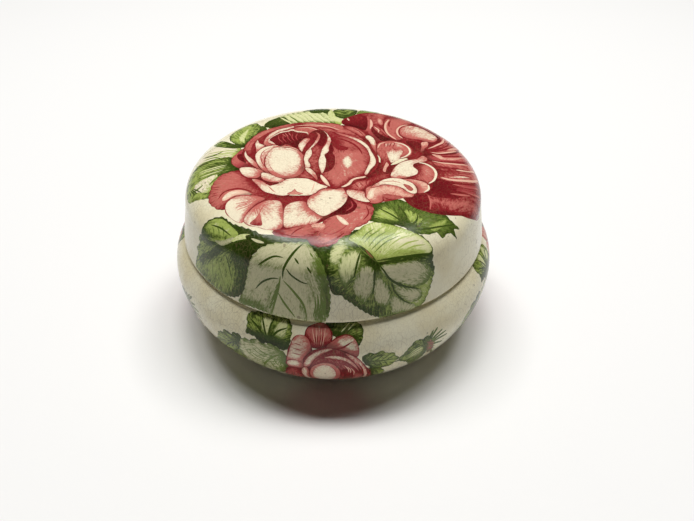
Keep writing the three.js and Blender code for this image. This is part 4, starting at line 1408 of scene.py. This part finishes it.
class Section:
    """A line of (radius, height) points, with softened normals pointing to its left."""

    def __init__(self, points, soften=0.7):
        points = np.array(points, float)
        distance = np.r_[0, np.cumsum(np.linalg.norm(np.diff(points, axis=0), axis=1))]
        self.length = distance[-1]
        count = max(12, round(self.length / SECTION_STEP))
        self.s = np.linspace(0, self.length, count)
        self.radius = np.interp(self.s, distance, points[:, 0])
        self.height = np.interp(self.s, distance, points[:, 1])
        spread = max(1, round(soften / (self.length / count)))
        window = np.ones(2 * spread + 1) / (2 * spread + 1)
        along_r = np.convolve(np.pad(np.gradient(self.radius), spread, "edge"), window, "valid")
        along_h = np.convolve(np.pad(np.gradient(self.height), spread, "edge"), window, "valid")
        size = np.hypot(along_r, along_h)
        self.normal_r, self.normal_h = -along_h / size, along_r / size

    def at(self, s):
        """Radius, height, and normal's radial and upward parts, at distances along the section."""
        looked_up = (self.radius, self.height, self.normal_r, self.normal_h)
        return tuple(np.interp(s, self.s, values) for values in looked_up)

    def rolled(self, s, azimuth):
        """Points and normals, in metres, at distances along the section and angles round the axis."""
        radius, height, normal_r, normal_h = self.at(s)
        c, a = np.cos(azimuth), np.sin(azimuth)
        points = np.stack([radius * c, radius * a, height], axis=1) * MM
        normals = np.stack([normal_r * c, normal_r * a, normal_h], axis=1)
        return points, normals


def dome(edge_radius, edge_height, rise, steps):
    """A low dome from the axis out to its edge."""
    radii = np.linspace(0, edge_radius, steps + 1)
    return [(r, edge_height + rise * (1 - (r / edge_radius) ** 2)) for r in radii]


def lid_outside():
    """Crown, shoulder and skirt, from the axis down to the rim."""
    reach = CREASE_RADIUS - CROWN_RADIUS
    shoulder = arc(CROWN_RADIUS, CREASE_HEIGHT, reach, CROWN_EDGE - CREASE_HEIGHT, 90, 0, 40)
    centre = RIM_RADIUS - RIM_ROUNDING
    rounding = arc(centre, RIM_HEIGHT + RIM_ROUNDING, RIM_ROUNDING, RIM_ROUNDING, 0, -75, 8)
    return Section(dome(CROWN_RADIUS, CROWN_EDGE, CROWN_RISE, 40) + shoulder[1:] + rounding)


def lid_inside(start):
    """Rim, skirt and crown on the inside, from where the outside ends in to the axis."""
    reach = CREASE_RADIUS - CROWN_RADIUS - SHOULDER_THICKEN
    inner = CREASE_RADIUS - LID_WALL
    top = CROWN_EDGE - LID_WALL
    rounding = RIM_INNER_ROUNDING
    flat_end = RIM_INNER_RADIUS + rounding
    rim = [start, (RIM_RADIUS - RIM_ROUNDING, RIM_HEIGHT), (flat_end, RIM_HEIGHT)]
    rim += arc(flat_end, RIM_HEIGHT + rounding, rounding, rounding, 270, 180, 6)[1:]
    crease = CREASE_HEIGHT - INSIDE_CREASE_DROP
    shoulder = arc(inner - reach, crease, reach, top - crease, 0, 90, 24)
    return Section(rim + shoulder + dome(inner - reach, top, CROWN_RISE, 16)[::-1][1:])


def bowl_outside():
    """Shoulder and wall, from the seat down to the foot."""
    lowest = math.degrees(math.asin((WALL_START - BULGE_HEIGHT) / LOWER_DROP))
    reach = BULGE_RADIUS - SHOULDER_RADIUS
    shoulder = arc(SHOULDER_RADIUS, BULGE_HEIGHT, reach, SEAT_HEIGHT - BULGE_HEIGHT, 90, 0, 30)
    wall = arc(BULGE_RADIUS - LOWER_REACH, BULGE_HEIGHT, LOWER_REACH, LOWER_DROP, 0, lowest, 60)
    return Section(shoulder + wall[1:])


def bowl_inside():
    """Floor, wall and neck on the inside, then over the collar and out across the seat."""
    inner = BULGE_RADIUS - BOWL_WALL
    corner_centre = inner - CORNER_REACH
    corner_drop = BULGE_HEIGHT - FLOOR_TOP - FLOOR_RISE
    lip = (COLLAR_RADIUS - COLLAR_INNER_RADIUS) / 2
    fillet = SEAT_FILLET
    return Section(
        [(0, FLOOR_TOP), (corner_centre, FLOOR_TOP + FLOOR_DISH)]
        + arc(corner_centre, BULGE_HEIGHT, CORNER_REACH, corner_drop, -84, 0, 30)
        + arc(COLLAR_INNER_RADIUS, BULGE_HEIGHT, inner - COLLAR_INNER_RADIUS, NECK_RISE, 0, 84, 16)[1:]
        + [(COLLAR_INNER_RADIUS, SEAT_HEIGHT - NECK_DROP)]
        + arc(COLLAR_RADIUS - lip, COLLAR_TOP - lip, lip, lip, 180, 0, 20)
        + arc(COLLAR_RADIUS + fillet, SEAT_HEIGHT + fillet, fillet, fillet, 180, 270, 5)
        + [(SHOULDER_RADIUS, SEAT_HEIGHT)],
        soften=0.35,
    )


def bowl_foot(start):
    """Foot ring and the hollow base inside it, from the wall's end in to the axis."""
    edge, fillet = FOOT_EDGE, FOOT_FILLET
    return Section(
        [start, FOOT_WAIST]
        + arc(FOOT_RADIUS - edge, edge, edge, edge, 0, -90, 5)
        + arc(FOOT_INNER_RADIUS + edge, edge, edge, edge, 270, 180, 5)
        + arc(FOOT_INNER_RADIUS - fillet, FOOT_RECESS - fillet, fillet, fillet, 0, 90, 6)
        + [(0, FOOT_RECESS)],
        soften=0.3,
    )


# ---- Meshes ----


def fill_points(inside, low, high, outlines):
    """A staggered grid of points over a sheet, left out where an outline already has points."""
    tree = KDTree(len(outlines))
    for i, (x, y) in enumerate(outlines):
        tree.insert((x, y, 0), i)
    tree.balance()
    points = []
    for i, y in enumerate(np.arange(low[1], high[1], GRAIN * math.sqrt(3) / 2)):
        for x in np.arange(low[0] + (i % 2) * GRAIN / 2, high[0], GRAIN):
            if inside(x, y) and tree.find((x, y, 0))[2] > 0.5 * GRAIN:
                points.append((x, y))
    return np.array(points)


def painted_sheet(art, border, inside):
    """Triangles over a flat sheet, cut along every outline, with the paint's values at their corners."""
    loops = [shape["loop"] for shape in art.shapes]
    outlines = np.concatenate([border] + loops)
    fill = fill_points(inside, border.min(axis=0), border.max(axis=0), outlines)
    faces, start = [], 0
    for loop in [border] + loops:
        faces.append(list(range(start, start + len(loop))))
        start += len(loop)
    vertices = [Vector(v) for v in np.concatenate([outlines, fill])]
    result = delaunay_2d_cdt(vertices, [], faces, 1, 1e-4, True)
    # keep what lies inside the border, and only its points
    within = [(face, max(owners) - 1) for face, owners in zip(result[2], result[5]) if 0 in owners]
    used, flat = np.unique([face for face, _ in within], return_inverse=True)
    flat = flat.ravel()
    points = np.array([tuple(v) for v in result[0]])[used]
    triangles = flat.reshape(-1, 3)
    owner = np.repeat([top for _, top in within], 3)
    values = {
        "light": np.zeros((len(flat), 4)),
        "dark": np.zeros((len(flat), 4)),
        "brush": np.zeros((len(flat), 4)),
        "vein": np.zeros((len(flat), 3)),
    }
    for k, shape in enumerate(art.shapes):
        mine = np.nonzero(owner == k)[0]
        if not len(mine):
            continue
        used, back = np.unique(flat[mine], return_inverse=True)
        spots = points[used]
        tone, along, across, side, streak, phase, panels = shape["brush"](spots)
        for line, width, amount in shape["washes"]:
            tone = tone + amount * np.clip(1 - gap(spots, line) / width, 0, 1) ** 1.5
        values["light"][mine] = np.r_[shape["light"], 1]
        values["dark"][mine] = np.r_[shape["dark"], streak]
        values["brush"][mine] = np.stack([along, across + STROKES_APART * k, side, tone], axis=1)[back]
        values["vein"][mine, 0] = phase[back]
        values["vein"][mine, 1] = panels
    for k, shape in enumerate(art.shapes):
        if shape["shadow"]:
            close = near(points, shape["loop"], SHADOW_REACH)
            dark = np.zeros(len(points))
            dark[close] = np.clip(1 - gap(points[close], shape["loop"]) / SHADOW_REACH, 0, 1) ** 1.3
            values["brush"][:, 3] += np.where(owner < k, shape["shadow"] * dark[flat], 0)
    return points, triangles, values


def ring_rows(section, step, is_clay=None):
    """Rings of AROUND points along a section, as quads, with a mark on each that is bare clay."""
    s = np.linspace(0, section.length, max(2, round(section.length / step)) + 1)
    azimuth = np.arange(AROUND) / AROUND * TURN
    points, normals = section.rolled(np.repeat(s, AROUND), np.tile(azimuth, len(s)))
    quads, bare = [], []
    radius, height = section.at((s[:-1] + s[1:]) / 2)[:2]
    for i in range(len(s) - 1):
        for j in range(AROUND):
            k = (j + 1) % AROUND
            quads.append((i * AROUND + j, (i + 1) * AROUND + j, (i + 1) * AROUND + k, i * AROUND + k))
            bare.append(bool(is_clay and is_clay(radius[i], height[i])))
    return points, normals, np.array(quads), bare


def build_mesh(name, sheet, sheet_points, sheet_normals, rings, materials):
    """Joins a rolled-up sheet and turned rings into one closed mesh object."""
    _, triangles, values = sheet
    points, normals = [sheet_points], [sheet_normals]
    faces = [tuple(t) for t in triangles]
    slots = [0] * len(faces)
    start = len(sheet_points)
    for ring_points, ring_normals, quads, bare in rings:
        points.append(ring_points)
        normals.append(ring_normals)
        faces += [tuple(q) for q in quads + start]
        slots += [int(b) for b in bare]
        start += len(ring_points)
    points = np.concatenate(points)
    normals = np.concatenate(normals)
    _, first, merged = np.unique(np.round(points, 7), axis=0, return_index=True, return_inverse=True)
    merged = merged.ravel()
    kept, kept_slots, corner_source, corner = [], [], [], 0
    for face, slot in zip(faces, slots):
        welded = [merged[v] for v in face]
        distinct = [i for i in range(len(welded)) if welded[i] != welded[i - 1]]
        if len(distinct) > 2:
            kept.append([int(welded[i]) for i in distinct])
            kept_slots.append(slot)
            corner_source += [(face[i], corner + i) for i in distinct]
        corner += len(face)
    mesh = bpy.data.meshes.new(name)
    mesh.from_pydata(points[first].tolist(), [], kept)
    source = np.array(corner_source)
    sheet_corners = len(triangles) * 3
    on_sheet = source[:, 1] < sheet_corners
    for key, corner_values in values.items():
        is_colour = corner_values.shape[1] == 4
        kind, field = ("FLOAT_COLOR", "color") if is_colour else ("FLOAT_VECTOR", "vector")
        data = np.zeros((len(source), corner_values.shape[1]))
        data[on_sheet] = corner_values[source[on_sheet, 1]]
        mesh.attributes.new(key, kind, "CORNER").data.foreach_set(field, data.ravel())
    for material in materials:
        mesh.materials.append(material)
    mesh.polygons.foreach_set("material_index", kept_slots)
    mesh.polygons.foreach_set("use_smooth", [True] * len(kept))
    mesh.normals_split_custom_set(normals[source[:, 0]].tolist())
    mesh.update()
    piece = bpy.data.objects.new(name, mesh)
    bpy.context.collection.objects.link(piece)
    return piece


def make_lid(materials):
    """The lid: a painted disc rolled over the crown, shoulder and skirt, and its plain inside."""
    outside = lid_outside()
    azimuth = np.arange(AROUND) / AROUND * TURN
    reach = outside.length
    border = np.stack([np.cos(azimuth), np.sin(azimuth)], axis=1) * reach
    sheet = painted_sheet(paint_lid(), border, lambda x, y: math.hypot(x, y) < reach - MARGIN)
    flat = sheet[0]
    distance = np.minimum(np.linalg.norm(flat, axis=1), reach)
    points, normals = outside.rolled(distance, np.arctan2(flat[:, 1], flat[:, 0]))
    end = tuple(float(v) for v in outside.at(reach)[:2])
    rings = [ring_rows(lid_inside(end), PLAIN_STEP)]
    return build_mesh("painted_lid", sheet, points, normals, rings, materials)


def seam_of(round_wall):
    """Both ends of the bowl's strip, moved to the nearest of the turned rings' points."""
    step = round_wall / AROUND
    left = (round(SEAM / step + AROUND / 4) - AROUND / 4) * step
    return left, left + round_wall


def make_bowl(materials):
    """The bowl: a painted strip rolled round the wall, its plain inside and its foot."""
    outside = bowl_outside()
    round_wall = TURN * BULGE_RADIUS
    drop = outside.length
    left, right = seam_of(round_wall)
    across = np.arange(AROUND + 1) / AROUND * round_wall + left
    down = -np.linspace(0, drop, SEAM_STEPS + 1)[1:-1]
    border = np.concatenate(
        [
            np.stack([across[::-1], np.zeros(AROUND + 1)], axis=1),
            np.stack([np.full(len(down), left), down], axis=1),
            np.stack([across, np.full(AROUND + 1, -drop)], axis=1),
            np.stack([np.full(len(down), right), down[::-1]], axis=1),
        ]
    )

    def inside(x, y):
        return left + MARGIN < x < right - MARGIN and -drop + MARGIN < y < -MARGIN

    sheet = painted_sheet(paint_bowl(), border, inside)
    flat = sheet[0]
    points, normals = outside.rolled(-flat[:, 1], flat[:, 0] / BULGE_RADIUS - math.pi / 2)
    end = tuple(float(v) for v in outside.at(drop)[:2])

    def is_clay(radius, height):
        return radius > FOOT_INNER_RADIUS and height < BARE_CLAY_HEIGHT

    rings = [ring_rows(bowl_inside(), PLAIN_STEP), ring_rows(bowl_foot(end), FOOT_STEP, is_clay)]
    return build_mesh("painted_bowl", sheet, points, normals, rings, materials)


# ---- Materials ----

GLAZE_THIN = (236, 231, 204)
GLAZE_POOLED = (224, 214, 178)
CRACK_STAIN = (132, 112, 80)
SPECK = (92, 70, 50)
INK_TINT = (0.36, 0.32, 0.32)  # linear, multiplied into the darkest paint
CLAY_PALE = (214, 196, 160)
CLAY_DARK = (186, 162, 124)
CLAY_STAIN = (132, 108, 78)

# how strongly each part of the brushwork moves the tone
STROKE_STRENGTH = 0.85
HAIR_STRENGTH = 0.9
DOT_STRENGTH = 0.85
VEIN_BEND = 0.9
VEIN_LINE = 1.1

HIGHLIGHT_CREAM = 0.7  # how far the palest paint goes towards cream
INK_STRENGTH = 0.75
SPECK_STRENGTH = 0.5
GLAZE_SPECULAR = 0.19
CLAY_ROUGHNESS = 0.9

# noise scales, in turns per metre
PRINT_DOTS = 1500.0
SPECKS = 520.0
VEIN_WOBBLE = 230.0
SMEARS = 160.0
MOTTLE = 90.0
WAVES = 75.0
CRACK_PATCHES = 38.0
CLAY_GRAINS = 900.0
CLAY_STAINS = 120.0

# sizes of the cells between cracks, and the cracks' width and how far they wander, in metres
FINE_CRACKS = 0.0012
FINE_WIDTH = 0.00008
FINE_WARP = 0.0006
COARSE_CRACKS = 0.0036
COARSE_WIDTH = 0.0001
COARSE_WARP = 0.002
CRACK_STRETCH = (1, 1, 0.4)  # draws the fine cells out upright
FINE_DEPTH = 0.34  # how dark the fine cracks are
COARSE_DEPTH = 0.22


def linear_tuple(colour):
    """A colour of 0 to 255 as a linear tuple."""
    return tuple(linear(colour))


def new_material(name):
    """A node material and its Principled shader."""
    material = bpy.data.materials.new(name)
    material.use_nodes = True
    return material, material.node_tree, material.node_tree.nodes["Principled BSDF"]


def wire(tree, value, socket):
    """Links a node's output to a socket, or sets the socket to a plain value."""
    if isinstance(value, bpy.types.NodeSocket):
        tree.links.new(value, socket)
    else:
        socket.default_value = value


def attribute(tree, name):
    """An attribute node."""
    node = tree.nodes.new("ShaderNodeAttribute")
    node.attribute_name = name
    return node


def maths(tree, operation, *values):
    """A maths node's result."""
    node = tree.nodes.new("ShaderNodeMath")
    node.operation = operation
    for value, socket in zip(values, node.inputs):
        wire(tree, value, socket)
    return node.outputs[0]


def mixed(tree, amount, a, b, blend="MIX"):
    """Two colours mixed by an amount."""
    node = tree.nodes.new("ShaderNodeMix")
    node.data_type = "RGBA"
    node.blend_type = blend
    wire(tree, amount, node.inputs[0])
    for value, socket in ((a, node.inputs[6]), (b, node.inputs[7])):
        wire(tree, (*value, 1) if isinstance(value, tuple) and len(value) == 3 else value, socket)
    return node.outputs[2]


def ramped(tree, value, low, high, to_low=0.0, to_high=1.0):
    """A value eased from one range to another."""
    node = tree.nodes.new("ShaderNodeMapRange")
    node.interpolation_type = "SMOOTHSTEP"
    for amount, socket in zip((value, low, high, to_low, to_high), node.inputs):
        wire(tree, amount, socket)
    return node.outputs[0]


def noise(tree, vector, scale, detail=2.0, roughness=0.5):
    """A noise texture's grey value."""
    node = tree.nodes.new("ShaderNodeTexNoise")
    wire(tree, vector, node.inputs["Vector"])
    for key, value in (("Scale", scale), ("Detail", detail), ("Roughness", roughness)):
        node.inputs[key].default_value = value
    return node.outputs["Fac"]


def separated(tree, vector):
    """A vector's three values."""
    node = tree.nodes.new("ShaderNodeSeparateXYZ")
    wire(tree, vector, node.inputs[0])
    return node.outputs


def crack_lines(tree, place, cell, width, warp):
    """Lines between cells of about the given size, in metres: 1 on a crack and 0 off it."""
    warped = tree.nodes.new("ShaderNodeVectorMath")
    warped.operation = "MULTIPLY_ADD"
    wobble = tree.nodes.new("ShaderNodeTexNoise")
    wire(tree, place, wobble.inputs["Vector"])
    wobble.inputs["Scale"].default_value = 0.6 / cell
    wire(tree, wobble.outputs["Color"], warped.inputs[0])
    warped.inputs[1].default_value = (warp, warp, warp)
    wire(tree, place, warped.inputs[2])
    cells = tree.nodes.new("ShaderNodeTexVoronoi")
    cells.feature = "DISTANCE_TO_EDGE"
    cells.inputs["Scale"].default_value = 1 / cell
    wire(tree, warped.outputs[0], cells.inputs["Vector"])
    return ramped(tree, cells.outputs["Distance"], 0.0, width / cell, 1.0, 0.0)


def vary(tree, amount, centre, strength):
    """How far an amount is from a centre, times a strength."""
    return maths(tree, "MULTIPLY", maths(tree, "SUBTRACT", amount, centre), strength)


def brushed_tone(tree, place, dots):
    """The painted tone, with brush strokes, the shading's printed dots, and the strips between veins."""
    brush = attribute(tree, "brush")
    streak = attribute(tree, "dark").outputs["Alpha"]
    phase, panels, _ = separated(tree, attribute(tree, "vein").outputs["Vector"])
    # broad strokes and hairs, drawn out along the brush's direction
    strokes = noise(tree, brush.outputs["Color"], 1.0, detail=3.0, roughness=0.65)
    hairs = noise(tree, brush.outputs["Color"], 2.9, detail=2.0, roughness=0.6)
    strokes = vary(tree, strokes, 0.5, STROKE_STRENGTH)
    strokes = maths(tree, "ADD", strokes, vary(tree, hairs, 0.5, HAIR_STRENGTH))
    tone = maths(tree, "ADD", brush.outputs["Alpha"], maths(tree, "MULTIPLY", strokes, streak))
    tone = maths(tree, "ADD", tone, vary(tree, dots, 0.5, DOT_STRENGTH))
    # each strip between a leaf's veins is shaded across, with a thin line at the vein
    bend = vary(tree, noise(tree, place, VEIN_WOBBLE), 0.5, VEIN_BEND)
    strip = maths(tree, "FRACT", maths(tree, "ADD", phase, bend))
    tone = maths(tree, "ADD", tone, vary(tree, strip, 0.6, panels))
    line = maths(tree, "MULTIPLY", ramped(tree, strip, 0.02, 0.1, VEIN_LINE, 0.0), panels)
    return maths(tree, "ADD", tone, line)


def paint_colour(tree, tone):
    """The paint at a tone: pale below 0, its light colour at 0, its dark one at 1, and inky by 2."""
    light = attribute(tree, "light").outputs["Color"]
    dark = attribute(tree, "dark").outputs["Color"]
    pale = mixed(tree, HIGHLIGHT_CREAM, light, linear_tuple(CREAM))
    colour = mixed(tree, ramped(tree, tone, -1.0, -0.1, 1.0, 0.0), light, pale)
    colour = mixed(tree, ramped(tree, tone, 0.0, 1.0), colour, dark)
    inky = ramped(tree, tone, 1.0, 2.0, 0.0, INK_STRENGTH)
    return mixed(tree, inky, colour, INK_TINT, "MULTIPLY")


def crazing(tree, place):
    """Fine upright cracks and coarser ones between them: how dark each shows."""
    tall = tree.nodes.new("ShaderNodeVectorMath")
    tall.operation = "MULTIPLY"
    wire(tree, place, tall.inputs[0])
    tall.inputs[1].default_value = CRACK_STRETCH
    fine = crack_lines(tree, tall.outputs[0], FINE_CRACKS, FINE_WIDTH, FINE_WARP)
    coarse = crack_lines(tree, place, COARSE_CRACKS, COARSE_WIDTH, COARSE_WARP)
    fine = maths(tree, "MULTIPLY", fine, FINE_DEPTH)
    coarse = maths(tree, "MULTIPLY", coarse, COARSE_DEPTH)
    return maths(tree, "MAXIMUM", fine, coarse)


def glaze_relief(tree, place, dots, cracks, covered):
    """The glaze's slow waves, with the print and the cracks standing out of it a little."""
    waves = tree.nodes.new("ShaderNodeBump")
    waves.inputs["Strength"].default_value = 0.25
    waves.inputs["Distance"].default_value = 0.0006
    wire(tree, noise(tree, place, WAVES, detail=1.0), waves.inputs["Height"])
    relief = tree.nodes.new("ShaderNodeBump")
    relief.inputs["Strength"].default_value = 0.35
    relief.inputs["Distance"].default_value = 0.00006
    print_relief = maths(tree, "MULTIPLY", dots, maths(tree, "ADD", covered, 0.25))
    height = maths(tree, "SUBTRACT", print_relief, maths(tree, "MULTIPLY", cracks, 1.5))
    wire(tree, height, relief.inputs["Height"])
    wire(tree, waves.outputs[0], relief.inputs["Normal"])
    return relief.outputs[0]


def painted_glaze():
    """Cream glaze over the painting, crazed, pooled and specked."""
    material, tree, shader = new_material("painted_glaze")
    place = tree.nodes.new("ShaderNodeTexCoord").outputs["Object"]
    covered = attribute(tree, "light").outputs["Alpha"]
    dots = noise(tree, place, PRINT_DOTS, detail=1.0, roughness=0.6)
    mottle = noise(tree, place, MOTTLE, detail=4.0)
    pooled = ramped(tree, mottle, 0.3, 0.75)
    glaze = mixed(tree, pooled, linear_tuple(GLAZE_THIN), linear_tuple(GLAZE_POOLED))
    colour = mixed(tree, covered, glaze, paint_colour(tree, brushed_tone(tree, place, dots)))
    cracks = crazing(tree, place)
    patches = ramped(tree, noise(tree, place, CRACK_PATCHES), 0.35, 0.65, 0.3, 1.0)
    colour = mixed(tree, maths(tree, "MULTIPLY", cracks, patches), colour, linear_tuple(CRACK_STAIN))
    specks = ramped(tree, noise(tree, place, SPECKS, detail=0.0), 0.81, 0.84)
    colour = mixed(tree, maths(tree, "MULTIPLY", specks, SPECK_STRENGTH), colour, linear_tuple(SPECK))
    wire(tree, colour, shader.inputs["Base Color"])
    smear = noise(tree, place, SMEARS, detail=3.0)
    wire(tree, ramped(tree, smear, 0.3, 0.8, 0.1, 0.24), shader.inputs["Roughness"])
    wire(tree, glaze_relief(tree, place, dots, cracks, covered), shader.inputs["Normal"])
    shader.inputs["Specular IOR Level"].default_value = GLAZE_SPECULAR
    return material


def bare_clay():
    """Unglazed earthenware on the underside of the foot ring."""
    material, tree, shader = new_material("bare_clay")
    place = tree.nodes.new("ShaderNodeTexCoord").outputs["Object"]
    grains = noise(tree, place, CLAY_GRAINS, detail=4.0, roughness=0.7)
    stains = noise(tree, place, CLAY_STAINS, detail=3.0)
    body = mixed(tree, ramped(tree, grains, 0.35, 0.7), linear_tuple(CLAY_PALE), linear_tuple(CLAY_DARK))
    body = mixed(tree, ramped(tree, stains, 0.5, 0.8, 0.0, 0.6), body, linear_tuple(CLAY_STAIN))
    wire(tree, body, shader.inputs["Base Color"])
    shader.inputs["Roughness"].default_value = CLAY_ROUGHNESS
    bump = tree.nodes.new("ShaderNodeBump")
    bump.inputs["Strength"].default_value = 0.5
    bump.inputs["Distance"].default_value = 0.0002
    wire(tree, grains, bump.inputs["Height"])
    wire(tree, bump.outputs[0], shader.inputs["Normal"])
    return material


# ---- Stage: floor, light and camera, in metres ----

FLOOR_SIZE = 6
FLOOR_GREY = (0.82, 0.82, 0.82, 1)
FLOOR_ROUGHNESS = 0.9
# name, x, width and watts
SOFTBOXES = (("left", -0.46, 0.3, 8.0), ("middle", 0, 0.5, 12.0), ("right", 0.5, 0.4, 9.5))
SOFTBOX_DEPTH = 0.4
SOFTBOX_BACK = 0.3
SOFTBOX_HEIGHT = 1.45
SOFTBOX_COLOUR = (1, 0.99, 0.97)
AIM = (0, 0, 0.03)
SURROUND_COLOUR = (1, 1, 0.98, 1)
SURROUND_STRENGTH = 0.015


def make_floor():
    """A plain pale floor, far wider than the view."""
    bpy.ops.mesh.primitive_plane_add(size=FLOOR_SIZE, location=(0, 0, 0))
    floor = bpy.context.object
    floor.name = "floor"
    material, _, shader = new_material("floor_white")
    shader.inputs["Base Color"].default_value = FLOOR_GREY
    shader.inputs["Roughness"].default_value = FLOOR_ROUGHNESS
    floor.data.materials.append(material)


def softbox(name, x, width, watts):
    """A soft rectangular light overhead, a little behind the jar, aimed at it."""
    data = bpy.data.lights.new("softbox_" + name, "AREA")
    data.shape = "RECTANGLE"
    data.size = width
    data.size_y = SOFTBOX_DEPTH
    data.energy = watts
    data.color = SOFTBOX_COLOUR
    light = bpy.data.objects.new(data.name, data)
    light.location = (x, SOFTBOX_BACK, SOFTBOX_HEIGHT)
    light.rotation_euler = (Vector(AIM) - light.location).to_track_quat("-Z", "Y").to_euler()
    bpy.context.collection.objects.link(light)


def make_lights():
    """Three soft lights side by side overhead, and a dim surround."""
    for name, x, width, watts in SOFTBOXES:
        softbox(name, x, width, watts)
    world = bpy.data.worlds.new("surround")
    world.use_nodes = True
    background = world.node_tree.nodes["Background"]
    background.inputs["Color"].default_value = SURROUND_COLOUR
    background.inputs["Strength"].default_value = SURROUND_STRENGTH
    bpy.context.scene.world = world
    bpy.context.scene.view_settings.view_transform = "Standard"


CAMERA_LENS = 31.67
CAMERA_BACK = 181.5  # millimetres in front of the jar's axis
CAMERA_UP = 130.1  # millimetres above the lid's rim
CAMERA_YAW = 0.0273
CAMERA_PITCH = 0.6878
CAMERA_ROLL = 0.0148


def make_camera():
    """A close camera, looking down at the front of the jar."""
    data = bpy.data.cameras.new("camera")
    data.lens = CAMERA_LENS
    data.sensor_width = 36
    data.clip_start = 0.01
    camera = bpy.data.objects.new("camera", data)
    level_part = math.cos(CAMERA_PITCH)
    ahead = (math.sin(CAMERA_YAW) * level_part, math.cos(CAMERA_YAW) * level_part, -math.sin(CAMERA_PITCH))
    forward = Vector(ahead)
    level = forward.cross(Vector((0, 0, 1))).normalized()
    above = level.cross(forward)
    right = level * math.cos(CAMERA_ROLL) + above * math.sin(CAMERA_ROLL)
    up = above * math.cos(CAMERA_ROLL) - level * math.sin(CAMERA_ROLL)
    place = Vector((0, -CAMERA_BACK, RIM_HEIGHT + CAMERA_UP)) * MM
    camera.matrix_world = Matrix.Translation(place) @ Matrix((right, up, -forward)).transposed().to_4x4()
    bpy.context.collection.objects.link(camera)
    bpy.context.scene.camera = camera


# ---- The scene ----

make_camera()
make_floor()
make_lights()
finishes = [painted_glaze(), bare_clay()]
for make, node, slot in ((make_bowl, "bowl", "bowl_glaze"), (make_lid, "lid", "lid_glaze")):
    piece = make(finishes)
    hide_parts(node)
    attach(piece, node)
